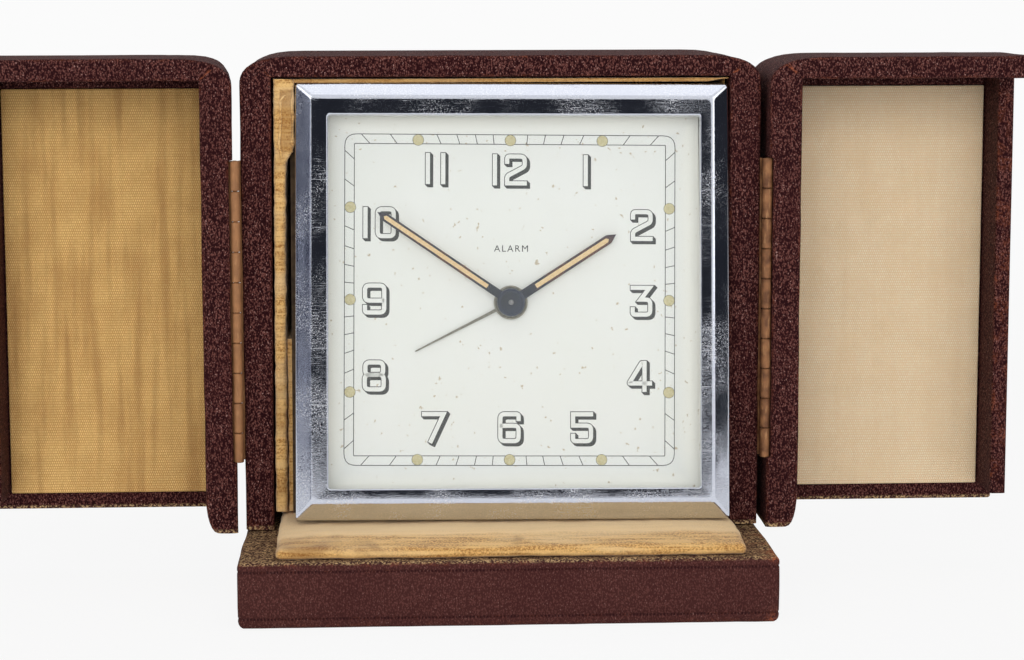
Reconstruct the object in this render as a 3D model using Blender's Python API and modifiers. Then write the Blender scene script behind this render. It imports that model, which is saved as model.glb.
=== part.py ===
"""Square travel alarm clock in a leather case with two folding doors.

Metres, +Z up, X to the right and Y towards the back. The origin is the middle of the
footprint, on the surface the clock stands on. The doors stand open at 180 degrees, and the
clock leans back on the pad of the plinth.
"""
import math

import bmesh
import bpy
from mathutils import Matrix, Vector

# Clearances
CLEAR = 0.0003          # between pieces that touch or are cut by one another
RUN = 0.00012           # round a pivot or a tube that turns
OVERRUN = 0.001         # how far a cutter passes its face

# Case: four walls of covered board on a plinth
CASE_WIDTH = 0.0870
CASE_HEIGHT = 0.0906
CASE_DEPTH = 0.0360
SIDE_WALL = 0.0052
TOP_WALL = 0.0032
BACK_WALL = 0.0030
CORNER_RUN = 0.0098     # the top corners are quarter ellipses
CORNER_DROP = 0.0046
PLINTH_HEIGHT = 0.0108
PLINTH_OVERHANG = 0.0250
PLINTH_ROUND = 0.0007
PAD_SIDE_MARGIN = 0.00055
PAD_TOP = 0.0138
PAD_FRONT_MARGIN = 0.0030
PAD_INSIDE = 0.0180
PAD_ROUND = 0.0014
PAD_CROWN = 0.0003
LINING_LEFT = 0.0024
LINING_RIGHT = 0.0004
LINING_TOP = 0.0005

# Door in the back of the case
BACK_DOOR_JAMB = 0.0083  # from the inside of the case to the edge of the door
BACK_DOOR_HEAD = 0.0121
BACK_DOOR_SILL = 0.0225
BACK_KNOB_RADIUS = 0.0026
BACK_KNOB_LENGTH = 0.0030
BACK_KNOB_NECK = 0.0012
BACK_KNOB_MARGIN = 0.0060
BACK_HINGE_LENGTH = 0.0260
BACK_HINGE_KNUCKLES = 5

# Hinges of the two doors: rolled brass strip, ten knuckles each
HINGE_LENGTH = 0.0508
HINGE_KNUCKLES = 10
HINGE_DROP = 0.0031      # how far the hinge sits below the middle of the case wall
HINGE_RADIUS = 0.0008
HINGE_PIN = 0.00033
HINGE_OUT = 0.0009      # from the side of the case to the hinge axis
HINGE_FORWARD = 0.0015  # from the front of the case to the hinge axis
LEAF_THICK = 0.0003
LEAF_DEEP = 0.0042
LEAF_SETBACK = 0.0006   # behind the rim of the case or the door
KNUCKLE_PLAY = 0.00012

# Doors: trays with a high hinge rail, a top wall, a low wall at the free edge, open below
RAIL = 0.0055
DOOR_TOP_WALL = 0.0037
DOOR_SKIN = 0.0020
DOOR_FREE_WALL = 0.0027
DOOR_BOTTOM_MARGIN = 0.0027  # bare leather below the lining
DOOR_GAP = 0.0006       # between the two free edges when closed
DOOR_SETBACK = 0.0116   # how far the low walls stand behind the rim
FOOT_FLAT = 0.0029
FOOT_RISE = 0.0057
DOOR_LINING = 0.0006
CATCH_HEIGHT = 0.0560
CATCH_STUD_RADIUS = 0.0009
CATCH_SHANK_RADIUS = 0.0005
CATCH_PROUD = 0.00045
CATCH_SHANK = 0.0018
CATCH_SOCKET_RADIUS = 0.0021
CATCH_SOCKET_WALL = 0.0006

# Clock unit: measured along its own face, which leans back in the case
CLOCK_SIDE_MARGIN = 0.0022  # on each side, to the inside of the case
CLOCK_TOP_MARGIN = 0.0014
CLOCK_SIDEWAYS = 0.0014
CLOCK_LEAN = math.radians(8.0)
CLOCK_FORWARD = 0.0103  # lower edge of the bezel in front of the case
CLOCK_LIFT = 0.0003     # lower back corner of the bezel above the pad
BEZEL_DEPTH = 0.0032
BEZEL_SLOPE = 0.0027
BEZEL_DROP = 0.0023
BEZEL_LIP = 0.0049
GLASS_DEPTH = 0.0014
GLASS_THICK = 0.0010
GLASS_SEAT = 0.0011
HOUSING_INSET = 0.0030  # inside the edge of the bezel
HOUSING_WALL = 0.0008
HOUSING_REAR = 0.0232
DIAL_DEPTH = 0.0052
DIAL_THICK = 0.0006
DIAL_HOLE = 0.0024
DIAL_FOOT_RADIUS = 0.0005
DIAL_FOOT_INSET = 0.0046
BACK_PLATE_INSET = 0.0066  # inside the housing
PILLAR_INSET = 0.0029
SEAT_FRAME_DEPTH = 0.0042
SEAT_FRAME_THICK = 0.0040
SEAT_FRAME_LOW = 0.0013
REAR_COVER_THICK = 0.0008

# The clock fills the case, the plates fit its housing, and the train fits the plates
CLOCK_SIZE = min(CASE_WIDTH - 2 * SIDE_WALL - 2 * CLOCK_SIDE_MARGIN,
                 CASE_HEIGHT - TOP_WALL - PAD_TOP - CLOCK_TOP_MARGIN)
HOUSING_SIZE = CLOCK_SIZE - 2 * HOUSING_INSET
DIAL_FOOT_PLACE = HOUSING_SIZE / 2 - DIAL_FOOT_INSET
BACK_PLATE_SIZE = HOUSING_SIZE - 2 * BACK_PLATE_INSET
PILLAR_PLACE = BACK_PLATE_SIZE / 2 - PILLAR_INSET
LINES_ACROSS = 53       # the plate is divided into lines, in which the train is laid out
LINE = BACK_PLATE_SIZE / LINES_ACROSS

# Hands: lengths from the centre, angles clockwise from twelve
MINUTE_LENGTH = 26.8 * LINE
MINUTE_WIDTH = 0.0014
MINUTE_BOSS = 0.0019
MINUTE_DEPTH = 0.0031
MINUTE_ANGLE = math.radians(304.5)
HOUR_LENGTH = 20.9 * LINE
HOUR_WIDTH = 0.0016
HOUR_BOSS = 0.00235
HOUR_DEPTH = 0.0038
HOUR_ANGLE = math.radians(57.6)
ALARM_LENGTH = 17.7 * LINE
ALARM_WIDTH = 0.0005
ALARM_BOSS = 0.00285
ALARM_DEPTH = 0.0045
ALARM_ANGLE = math.radians(243.4)
HAND_THICK = 0.0003
HAND_POINT = 0.0016
CENTRE_PIN_DEPTH = 0.0028

# Plates of the movement
FRONT_PLATE_DEPTH = 0.0094
PLATE_THICK = 0.0010
PLATE_SPACE = 0.0090
PILLAR_RADIUS = 1.4 * LINE

# Tubes round the centre
CENTRE_RADIUS = 0.00045
CANNON_RADIUS = 0.00090
HOUR_TUBE_RADIUS = 0.00145
ALARM_TUBE_RADIUS = 0.00200
ARBOR_RADIUS = 0.00040
WINDING_RADIUS = 0.00085

# Toothed wheels: teeth are counts, modules are lengths
WHEEL_THICK = 0.0007
PINION_LENGTH = 0.0013
BARREL_TEETH, CENTRE_PINION_TEETH, BARREL_MODULE = 56, 8, 0.384 * LINE
CENTRE_TEETH, THIRD_PINION_TEETH, CENTRE_MODULE = 48, 6, 0.373 * LINE
THIRD_TEETH, FOURTH_PINION_TEETH, THIRD_MODULE = 45, 6, 0.347 * LINE
FOURTH_TEETH, ESCAPE_PINION_TEETH, FOURTH_MODULE = 60, 6, 0.257 * LINE
CANNON_TEETH, MINUTE_TEETH, CANNON_MODULE = 10, 30, 0.396 * LINE
MINUTE_PINION_TEETH, HOUR_TEETH = 8, 32
ALARM_TEETH, ALARM_SET_TEETH, ALARM_MODULE = 40, 10, 0.422 * LINE
ALARM_BARREL_TEETH, STRIKE_PINION_TEETH, STRIKE_MODULE = 45, 6, 0.36 * LINE
ESCAPE_TEETH = 15
ESCAPE_TIP = 3.6 * LINE
ESCAPE_ROOT = 2.7 * LINE
STRIKE_TEETH = 9
STRIKE_TIP = 3.0 * LINE
STRIKE_ROOT = 2.1 * LINE

# Where the arbors stand, as directions clockwise from twelve in the face of the clock
BARREL_DIRECTION = math.radians(235.0)
THIRD_DIRECTION = math.radians(30.0)
FOURTH_DIRECTION = math.radians(110.0)
ESCAPE_DIRECTION = math.radians(190.0)
PALLET_REACH = 4.7 * LINE
PALLET_DIRECTION = math.radians(180.0)
BALANCE_REACH = 8.2 * LINE
BALANCE_DIRECTION = math.radians(175.7)
MINUTE_WHEEL_DIRECTION = math.radians(290.0)
ALARM_SET_DIRECTION = math.radians(160.0)
ALARM_BARREL_PLACE = (-12.8 * LINE, 13.2 * LINE)
STRIKE_DIRECTION = math.radians(80.0)
HAMMER_REACH = 5.0 * LINE
HAMMER_DIRECTION = math.radians(10.0)
STOP_BUTTON_PLACE = (19.0 * LINE, 18.5 * LINE)

# Layers between the plates, measured back from the rear of the front plate
CENTRE_WHEEL_LAYER = 0.0012
BARREL_LAYER = 0.0030
CENTRE_PINION_LAYER = 0.0027
THIRD_PINION_LAYER = 0.0009
THIRD_WHEEL_LAYER = 0.0050
FOURTH_WHEEL_LAYER = 0.0026
FOURTH_PINION_LAYER = 0.0047
ESCAPE_PINION_LAYER = 0.0023
ESCAPE_WHEEL_LAYER = 0.0046
BALANCE_LAYER = 0.0064
HAIRSPRING_LAYER = 0.0077
STRIKE_PINION_LAYER = 0.0027
STRIKE_WHEEL_LAYER = 0.0078
RATCHET_LAYER = 0.0015
BARREL_HEIGHT = 0.0046
BARREL_RADIUS = 10.0 * LINE
ALARM_BARREL_RADIUS = 7.4 * LINE
DRUM_WALL = 0.0006
SPRING_THICK = 0.00025
SPRING_CORE = 2.4 * LINE
SPRING_TURNS = 3
RATCHET_RADIUS = 3.0 * LINE
RATCHET_TEETH = 12

# Layers of the motion work, measured forward from the front of the front plate
CANNON_LAYER = 0.0015
HOUR_WHEEL_LAYER = 0.0025
ALARM_WHEEL_LAYER = 0.0033
MOTION_WHEEL_THICK = 0.0005
MOTION_STUD_RADIUS = 0.0005

# Balance, lever and hammer
BALANCE_RADIUS = 7.0 * LINE
BALANCE_RIM = 0.0009
BALANCE_HUB = 0.0012
SPOKE_WIDTH = 0.0008
HAIRSPRING_INNER = 1.6 * LINE
HAIRSPRING_OUTER = 4.8 * LINE
HAIRSPRING_TURNS = 3
HAIRSPRING_THICK = 0.00016
LEVER_LENGTH = 4.8 * LINE
LEVER_WIDTH = 0.9 * LINE
PALLET_SPAN = 2.1 * LINE
PALLET_RISE = 0.6 * LINE
HAMMER_ARM = 11.8 * LINE
HAMMER_ARM_WIDTH = 0.9 * LINE
HAMMER_HEAD_RADIUS = 1.5 * LINE
HAMMER_HEAD_LENGTH = 0.0020
HAMMER_SWING_DIRECTION = math.radians(33.0)

# Keys, knobs and levers on the back
KEY_SPAN = 0.0066
KEY_HEIGHT = 0.0052
KEY_THICK = 0.0009
KEY_HUB_RADIUS = 0.0017
KEY_HUB_LENGTH = 0.0034
SET_KNOB_RADIUS = 0.0031
SET_KNOB_LENGTH = 0.0030
ALARM_KNOB_RADIUS = 0.0026
KNOB_GROOVES = 14
STOP_RADIUS = 0.0018
STOP_STEM_RADIUS = 0.0008
STOP_STEM_LENGTH = 0.0072
STOP_TRAVEL = 0.0015
REGULATOR_LENGTH = 7.5 * LINE
REGULATOR_WIDTH = 0.0012
REGULATOR_HUB = 0.0016
REGULATOR_PIN_RADIUS = 0.0005
REGULATOR_DIRECTION = math.radians(250.0)
REGULATOR_SWING = math.radians(20.0)
REAR_REACH = 0.0010     # how far the regulator pin passes the cover

# Places worked out from the sizes
BACK_PROUD = BACK_KNOB_NECK + BACK_KNOB_LENGTH
FRONT_Y = (PLINTH_OVERHANG - CASE_DEPTH - BACK_PROUD) / 2
BACK_Y = FRONT_Y + CASE_DEPTH
HALF = CASE_WIDTH / 2
INNER_HALF = HALF - SIDE_WALL
SHELL_BOTTOM = PLINTH_HEIGHT + CLEAR
INNER_TOP = CASE_HEIGHT - TOP_WALL
PAD_WIDTH = 2 * (INNER_HALF - PAD_SIDE_MARGIN)
BACK_DOOR_WIDTH = 2 * (INNER_HALF - BACK_DOOR_JAMB)
BACK_DOOR_HEIGHT = CASE_HEIGHT - BACK_DOOR_HEAD - BACK_DOOR_SILL
HINGE_SILL = (CASE_HEIGHT + PLINTH_HEIGHT - HINGE_LENGTH) / 2 - HINGE_DROP
DOOR_FOOT = PLINTH_HEIGHT + CLEAR
DOOR_BOTTOM = PAD_TOP + CLEAR
REAR_OF_FRONT_PLATE = FRONT_PLATE_DEPTH + PLATE_THICK
BACK_PLATE_DEPTH = REAR_OF_FRONT_PLATE + PLATE_SPACE
REAR_COVER_DEPTH = HOUSING_REAR + CLEAR
BEHIND_COVER = REAR_COVER_DEPTH + REAR_COVER_THICK

# Shares of the module, and of the pitch of the teeth
TOOTH_TIP_SHARE = 0.50
TOOTH_ROOT_SHARE = 1.20
LEAF_TIP_SHARE = 0.45
LEAF_ROOT_SHARE = 1.00
LEAF_TIP_WIDTH_SHARE = 0.14
LEAF_ROOT_WIDTH_SHARE = 0.30
SAW_SHARE = 0.15

# Counts of sides
ROUND_SIDES = 24
DRUM_SIDES = 20
KNUCKLE_SIDES = 12
SMALL_SIDES = 8
CORNER_STEPS = 6
SPOKES = 3

BODY = bpy.data.collections.new("travel_alarm_clock")
CUTTERS = bpy.data.collections.new("cutters")


def clear_scene():
    for obj in list(bpy.data.objects):
        bpy.data.objects.remove(obj, do_unlink=True)
    bpy.context.scene.collection.children.link(BODY)
    bpy.context.scene.collection.children.link(CUTTERS)


def finish_material(name, colour, roughness, metallic=0.0, alpha=1.0):
    material = bpy.data.materials.new(name)
    material.use_nodes = True
    shader = material.node_tree.nodes["Principled BSDF"]
    shader.inputs["Base Color"].default_value = (*colour, 1.0)
    shader.inputs["Roughness"].default_value = roughness
    shader.inputs["Metallic"].default_value = metallic
    shader.inputs["Alpha"].default_value = alpha
    return material


def make_materials():
    return {
        "leather": finish_material("leather", (0.060, 0.013, 0.012), 0.55),
        "velvet": finish_material("velvet", (0.520, 0.320, 0.120), 0.95),
        "fabric": finish_material("fabric", (0.600, 0.430, 0.220), 0.90),
        "board": finish_material("board", (0.100, 0.070, 0.045), 0.90),
        "hinge_brass": finish_material("hinge_brass", (0.190, 0.090, 0.035), 0.45, 1.0),
        "chrome": finish_material("chrome", (0.620, 0.630, 0.640), 0.14, 1.0),
        "glass": finish_material("glass", (0.900, 0.930, 0.920), 0.03, 0.0, 0.25),
        "dial": finish_material("dial", (0.800, 0.810, 0.760), 0.60),
        "blued": finish_material("blued", (0.020, 0.030, 0.080), 0.25, 1.0),
        "steel": finish_material("steel", (0.350, 0.350, 0.360), 0.35, 1.0),
        "brass": finish_material("brass", (0.600, 0.400, 0.130), 0.30, 1.0),
        "tin": finish_material("tin", (0.450, 0.430, 0.380), 0.45, 1.0),
    }


# Basic shapes

def empty(name, place, rotation=(0.0, 0.0, 0.0), parent=None):
    obj = bpy.data.objects.new(name, None)
    obj.location = place
    obj.rotation_euler = rotation
    obj.parent = parent
    BODY.objects.link(obj)
    return obj


def add(name, mesh, parent=None, place=(0.0, 0.0, 0.0), material=None, smooth=False):
    obj = bpy.data.objects.new(name, mesh)
    obj.parent = parent
    obj.location = place
    if material:
        mesh.materials.clear()
        mesh.materials.append(material)
    if smooth:
        mesh.shade_smooth()
        mesh.set_sharp_from_angle(angle=math.radians(35.0))
    (BODY if material else CUTTERS).objects.link(obj)
    if not material:
        obj.hide_render = True
        obj.display_type = "WIRE"
    return obj


def block_mesh(low, high):
    low, high = Vector(low), Vector(high)
    bm = bmesh.new()
    bmesh.ops.create_cube(bm, size=1.0)
    bmesh.ops.scale(bm, vec=high - low, verts=bm.verts)
    bmesh.ops.translate(bm, vec=(low + high) / 2, verts=bm.verts)
    mesh = bpy.data.meshes.new("block")
    bm.to_mesh(mesh)
    bm.free()
    return mesh


def rod_mesh(radius, start, end, sides=SMALL_SIDES, axis="Y", at=(0.0, 0.0)):
    """A cylinder from start to end along an axis, at a place in the other two."""
    bm = bmesh.new()
    bmesh.ops.create_cone(bm, cap_ends=True, segments=sides, radius1=radius,
                          radius2=radius, depth=end - start)
    turn = {"Y": Matrix.Rotation(math.radians(90.0), 4, "X"),
            "X": Matrix.Rotation(math.radians(90.0), 4, "Y"),
            "Z": Matrix.Identity(4)}[axis]
    bmesh.ops.transform(bm, matrix=turn, verts=bm.verts)
    middle = (start + end) / 2
    shift = {"Y": (at[0], middle, at[1]), "X": (middle, at[0], at[1]),
             "Z": (at[0], at[1], middle)}[axis]
    bmesh.ops.translate(bm, vec=shift, verts=bm.verts)
    mesh = bpy.data.meshes.new("rod")
    bm.to_mesh(mesh)
    bm.free()
    return mesh


def prism_mesh(outlines, start, end, upright=True):
    """Flat outlines, filled with their holes, given a thickness.

    An upright outline is in X and Z and its thickness runs along Y. Any other is in X and
    Y, with its thickness along Z.
    """
    curve = bpy.data.curves.new("outline", "CURVE")
    curve.dimensions = "2D"
    curve.fill_mode = "BOTH"
    curve.extrude = (end - start) / 2
    for outline in outlines:
        spline = curve.splines.new("POLY")
        spline.points.add(len(outline) - 1)
        for point, (a, b) in zip(spline.points, outline):
            point.co = (a, b, 0.0, 1.0)
        spline.use_cyclic_u = True
    holder = bpy.data.objects.new("outline", curve)
    CUTTERS.objects.link(holder)
    bpy.context.view_layer.update()
    mesh = bpy.data.meshes.new_from_object(
        holder.evaluated_get(bpy.context.evaluated_depsgraph_get()))
    bpy.data.objects.remove(holder)
    bm = bmesh.new()
    bm.from_mesh(mesh)
    bmesh.ops.remove_doubles(bm, verts=bm.verts, dist=CLEAR / 1000)
    if upright:
        bmesh.ops.rotate(bm, cent=(0.0, 0.0, 0.0), verts=bm.verts,
                         matrix=Matrix.Rotation(math.radians(90.0), 3, "X"))
        bmesh.ops.translate(bm, vec=(0.0, (start + end) / 2, 0.0), verts=bm.verts)
    else:
        bmesh.ops.translate(bm, vec=(0.0, 0.0, (start + end) / 2), verts=bm.verts)
    bmesh.ops.recalc_face_normals(bm, faces=bm.faces)
    bm.to_mesh(mesh)
    bm.free()
    return mesh


def merged(meshes):
    """One mesh that holds several, each still a body of its own."""
    bm = bmesh.new()
    for mesh in meshes:
        bm.from_mesh(mesh)
    mesh = bpy.data.meshes.new("group")
    bm.to_mesh(mesh)
    bm.free()
    return mesh


def combine(obj, mesh, operation, name="tool"):
    """Add a Boolean modifier whose operand sits in the object's own space."""
    tool = add(name, mesh)
    tool.parent = obj
    modifier = obj.modifiers.new(name, "BOOLEAN")
    modifier.operation = operation
    modifier.solver = "EXACT"
    modifier.object = tool
    return obj


def cut(obj, mesh):
    return combine(obj, mesh, "DIFFERENCE", "cut")


def join(obj, mesh):
    return combine(obj, mesh, "UNION", "join")


def soften(obj, width, segments=2):
    bevel = obj.modifiers.new("soften", "BEVEL")
    bevel.width = width
    bevel.segments = segments
    bevel.limit_method = "ANGLE"
    bevel.angle_limit = math.radians(50.0)
    return obj


# Outlines

def ring(radius, sides=ROUND_SIDES, at=(0.0, 0.0)):
    return [(at[0] + radius * math.cos(2 * math.pi * i / sides),
             at[1] + radius * math.sin(2 * math.pi * i / sides)) for i in range(sides)]


def square(half, at=(0.0, 0.0)):
    return [(at[0] - half, at[1] - half), (at[0] + half, at[1] - half),
            (at[0] + half, at[1] + half), (at[0] - half, at[1] + half)]


def arc(centre, across, up, start, end, steps=CORNER_STEPS):
    """Points on an ellipse, from one angle to another, in degrees from +X."""
    points = []
    for i in range(steps + 1):
        angle = math.radians(start + (end - start) * i / steps)
        points.append((centre[0] + across * math.cos(angle), centre[1] + up * math.sin(angle)))
    return points


def toward(distance, direction):
    """X and Z of a point, its direction clockwise from twelve as seen from the front."""
    return distance * math.sin(direction), distance * math.cos(direction)


def shifted(place, distance, direction):
    dx, dz = toward(distance, direction)
    return place[0] + dx, place[1] + dz


def toothed(teeth, module, phase=0.0):
    """Outline of a wheel, with a tooth centred at the phase, clockwise from twelve."""
    points = []
    radius = teeth * module / 2
    step = 2 * math.pi / teeth
    for i in range(teeth):
        middle = phase + i * step
        points.append(toward(radius - TOOTH_ROOT_SHARE * module, middle - step / 2))
        points.append(toward(radius + TOOTH_TIP_SHARE * module, middle))
    return points


def leaved(teeth, module, facing):
    """Outline of a pinion, with the gap between two leaves centred on a direction."""
    points = []
    radius = teeth * module / 2
    step = 2 * math.pi / teeth
    root = radius - LEAF_ROOT_SHARE * module
    tip = radius + LEAF_TIP_SHARE * module
    for i in range(teeth):
        middle = facing + (i + 1 / 2) * step
        for reach, share in ((root, -LEAF_ROOT_WIDTH_SHARE), (tip, -LEAF_TIP_WIDTH_SHARE),
                             (tip, LEAF_TIP_WIDTH_SHARE), (root, LEAF_ROOT_WIDTH_SHARE)):
            points.append(toward(reach, middle + share * step / 2))
    return points


def ratchet(teeth, tip, root, phase=0.0):
    """Outline of a wheel with saw teeth."""
    points = []
    step = 2 * math.pi / teeth
    for i in range(teeth):
        points.append(toward(root, phase + i * step))
        points.append(toward(tip, phase + (i + SAW_SHARE) * step))
    return points


def spiral(inner, outer, turns, thick, steps_per_turn=12):
    """Closed outline of a strip that winds outwards."""
    count = turns * steps_per_turn
    out, back = [], []
    for i in range(count + 1):
        angle = 2 * math.pi * i / steps_per_turn
        radius = inner + (outer - inner) * i / count
        out.append(toward(radius + thick / 2, angle))
        back.append(toward(radius - thick / 2, angle))
    return out + back[::-1]


def crossings(inner, outer, spokes, width, steps=5):
    """Openings between the spokes of a wheel."""
    holes = []
    for k in range(spokes):
        first = 2 * math.pi * k / spokes
        last = 2 * math.pi * (k + 1) / spokes
        hole = []
        for radius, forward in ((outer, True), (inner, False)):
            edge = math.asin(width / 2 / radius)
            angles = [first + edge + (last - first - 2 * edge) * i / steps
                      for i in range(steps + 1)]
            hole += [toward(radius, a) for a in (angles if forward else angles[::-1])]
        holes.append(hole)
    return holes


# Case

def case_outline():
    """Front view of the case above the plinth, with its two round top corners."""
    centre_x = HALF - CORNER_RUN
    centre_z = CASE_HEIGHT - CORNER_DROP
    right = arc((centre_x, centre_z), CORNER_RUN, CORNER_DROP, 0.0, 90.0)
    left = arc((-centre_x, centre_z), CORNER_RUN, CORNER_DROP, 90.0, 180.0)
    return [(-HALF, SHELL_BOTTOM), (HALF, SHELL_BOTTOM)] + right + left


def leaf_slot(side, rim, toward_back):
    """Slot in a wall for a hinge leaf: side is -1 on the left, rim is the wall's front."""
    near = rim + toward_back * (LEAF_SETBACK - CLEAR / 3)
    far = near + toward_back * (LEAF_THICK + CLEAR)
    x_out = side * (HALF + OVERRUN)
    x_in = side * (HALF - LEAF_DEEP - CLEAR)
    return block_mesh((min(x_out, x_in), min(near, far), HINGE_SILL - CLEAR),
                      (max(x_out, x_in), max(near, far), HINGE_SILL + HINGE_LENGTH + CLEAR))


def make_case_shell(paint):
    shell = add("case_shell", prism_mesh([case_outline()], FRONT_Y, BACK_Y),
                material=paint["leather"], smooth=True)
    cut(shell, block_mesh((-INNER_HALF, FRONT_Y - OVERRUN, SHELL_BOTTOM - OVERRUN),
                          (INNER_HALF, BACK_Y - BACK_WALL, INNER_TOP)))
    half_door = BACK_DOOR_WIDTH / 2 + CLEAR
    cut(shell, block_mesh((-half_door, BACK_Y - BACK_WALL - OVERRUN, BACK_DOOR_SILL - CLEAR),
                          (half_door, BACK_Y + OVERRUN,
                           BACK_DOOR_SILL + BACK_DOOR_HEIGHT + CLEAR)))
    for side in (-1, 1):
        cut(shell, leaf_slot(side, FRONT_Y, 1))
    return shell


def make_plinth(paint):
    plinth = add("plinth", block_mesh((-HALF, FRONT_Y - PLINTH_OVERHANG, 0.0),
                                      (HALF, BACK_Y, PLINTH_HEIGHT)),
                 material=paint["leather"], smooth=True)
    soften(plinth, PLINTH_ROUND)


def make_plinth_pad(paint):
    """The soft pad: a crowned cushion whose sides round over to its flat underside."""
    half = PAD_WIDTH / 2
    front = FRONT_Y - PLINTH_OVERHANG + PAD_FRONT_MARGIN
    back = FRONT_Y + PAD_INSIDE
    low = PLINTH_HEIGHT + CLEAR
    middle_y = (front + back) / 2
    half_y = (back - front) / 2
    steps = CORNER_STEPS
    levels = [(PAD_ROUND / 2, low), (0.0, low + PAD_ROUND / 2)]
    shoulder = PAD_TOP - PAD_CROWN
    for i in range(1, steps + 1):
        angle = math.radians(90.0) * i / steps
        levels.append((PAD_ROUND * (1 - math.cos(angle)),
                       shoulder - PAD_ROUND * (1 - math.sin(angle))))
    levels.append((3 * PAD_ROUND, PAD_TOP - PAD_CROWN / 3))
    levels.append((6 * PAD_ROUND, PAD_TOP))
    bm = bmesh.new()
    loops = []
    for inset, height in levels:
        loop = []
        corner = max(PAD_ROUND - inset, PAD_ROUND / 4)
        x, y = half - inset - corner, half_y - inset - corner
        for cx, cy, start in ((x, y, 0.0), (-x, y, 90.0), (-x, -y, 180.0), (x, -y, 270.0)):
            for px, py in arc((cx, cy), corner, corner, start, start + 90.0, 3):
                loop.append(bm.verts.new((px, py + middle_y, height)))
        loops.append(loop)
    for lower, upper in zip(loops, loops[1:]):
        for i in range(len(lower)):
            j = (i + 1) % len(lower)
            bm.faces.new((lower[i], lower[j], upper[j], upper[i]))
    bm.faces.new(loops[0][::-1])
    bm.faces.new(loops[-1])
    bmesh.ops.recalc_face_normals(bm, faces=bm.faces)
    mesh = bpy.data.meshes.new("pad")
    bm.to_mesh(mesh)
    bm.free()
    add("plinth_pad", mesh, material=paint["velvet"], smooth=True)


def make_case_lining(paint):
    """Thin covered boards against both sides and the top, open below."""
    outer = INNER_HALF - CLEAR
    top = INNER_TOP - CLEAR
    bottom = SHELL_BOTTOM
    left, right = -outer + LINING_LEFT, outer - LINING_RIGHT
    outline = [(-outer, bottom), (left, bottom), (left, top - LINING_TOP),
               (right, top - LINING_TOP), (right, bottom), (outer, bottom),
               (outer, top), (-outer, top)]
    depth = BACK_Y - BACK_WALL - CLEAR
    lining = add("case_lining", prism_mesh([outline], FRONT_Y + CLEAR, depth),
                 material=paint["velvet"])
    half = PAD_WIDTH / 2 + CLEAR
    cut(lining, block_mesh((-half, FRONT_Y - OVERRUN, bottom - OVERRUN),
                           (half, FRONT_Y + PAD_INSIDE + CLEAR, PAD_TOP + CLEAR)))


# Hinges

def knuckle_outline(side, tail, first, last):
    """A rolled knuckle and the strip that leaves it: the tail runs between two angles."""
    points = [(side * x, y) for x, y in tail]
    for i in range(1, KNUCKLE_SIDES):
        angle = first + (last - first) * i / KNUCKLE_SIDES
        points.append((side * HINGE_RADIUS * math.cos(angle), HINGE_RADIUS * math.sin(angle)))
    return points


def make_leaf(name, parent, side, length, knuckles, odd, near, far, deep, paint):
    """A hinge leaf round the axis of its parent, rising from it.

    Near and far are the two faces of the leaf, measured towards the back from the axis.
    Where the leaf lies past the barrel, the strip runs straight up to it.
    """
    if near < HINGE_RADIUS:
        start = (math.sqrt(HINGE_RADIUS ** 2 - near ** 2), near)
        stop = (math.sqrt(HINGE_RADIUS ** 2 - far ** 2), far)
        tail = [start, (deep, near), (deep, far), stop]
    else:
        inner = HINGE_RADIUS - LEAF_THICK
        start = (HINGE_RADIUS, 0.0)
        stop = (inner, math.sqrt(HINGE_RADIUS ** 2 - inner ** 2))
        tail = [start, (HINGE_RADIUS, near), (deep, near), (deep, far), (inner, far), stop]
    first = math.atan2(stop[1], stop[0])
    last = 2 * math.pi + math.atan2(start[1], start[0])
    pitch = length / knuckles
    outline = knuckle_outline(side, tail, first, last)
    bore = ring(HINGE_PIN + RUN, SMALL_SIDES)
    rolls = [prism_mesh([outline, bore], i * pitch + KNUCKLE_PLAY / 2,
                        (i + 1) * pitch - KNUCKLE_PLAY / 2, upright=False)
             for i in range(knuckles) if i % 2 == odd]
    plate_start = HINGE_RADIUS + CLEAR
    xs = sorted((side * plate_start, side * deep))
    inset = KNUCKLE_PLAY / 4
    plate = block_mesh((xs[0], near + inset, KNUCKLE_PLAY / 3),
                       (xs[1], far - inset, length - KNUCKLE_PLAY / 3))
    leaf = add(name, plate, parent, material=paint["hinge_brass"], smooth=True)
    join(leaf, merged(rolls))
    return leaf


def make_side_hinge(label, side, pivot, paint):
    """The hinge of a door: one leaf in the case, one in the door, and the pin."""
    axis = (side * (HALF + HINGE_OUT), FRONT_Y - HINGE_FORWARD, HINGE_SILL)
    fixed = empty(label + "_hinge_axis", axis)
    deep = HINGE_OUT + LEAF_DEEP
    near = HINGE_FORWARD + LEAF_SETBACK
    make_leaf(label + "_hinge_case_leaf", fixed, -side, HINGE_LENGTH, HINGE_KNUCKLES, 0,
              near, near + LEAF_THICK, deep, paint)
    add(label + "_hinge_pin", rod_mesh(HINGE_PIN, 0.0, HINGE_LENGTH, axis="Z"), fixed,
        material=paint["hinge_brass"], smooth=True)
    rim = HINGE_FORWARD - CLEAR
    make_leaf(label + "_hinge_door_leaf", pivot, -side, HINGE_LENGTH, HINGE_KNUCKLES, 1,
              rim - LEAF_SETBACK - LEAF_THICK, rim - LEAF_SETBACK, deep, paint)


# Doors, drawn closed round their hinge axis and turned open by their pivot

def door_outline():
    """Front view of a closed door, across from its hinge side and up from the ground."""
    width = HALF - DOOR_GAP / 2
    crown = arc((CORNER_RUN, CASE_HEIGHT - CORNER_DROP), CORNER_RUN, CORNER_DROP, 90.0, 180.0)
    return [(0.0, DOOR_FOOT), (width, DOOR_FOOT), (width, CASE_HEIGHT)] + crown


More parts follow.
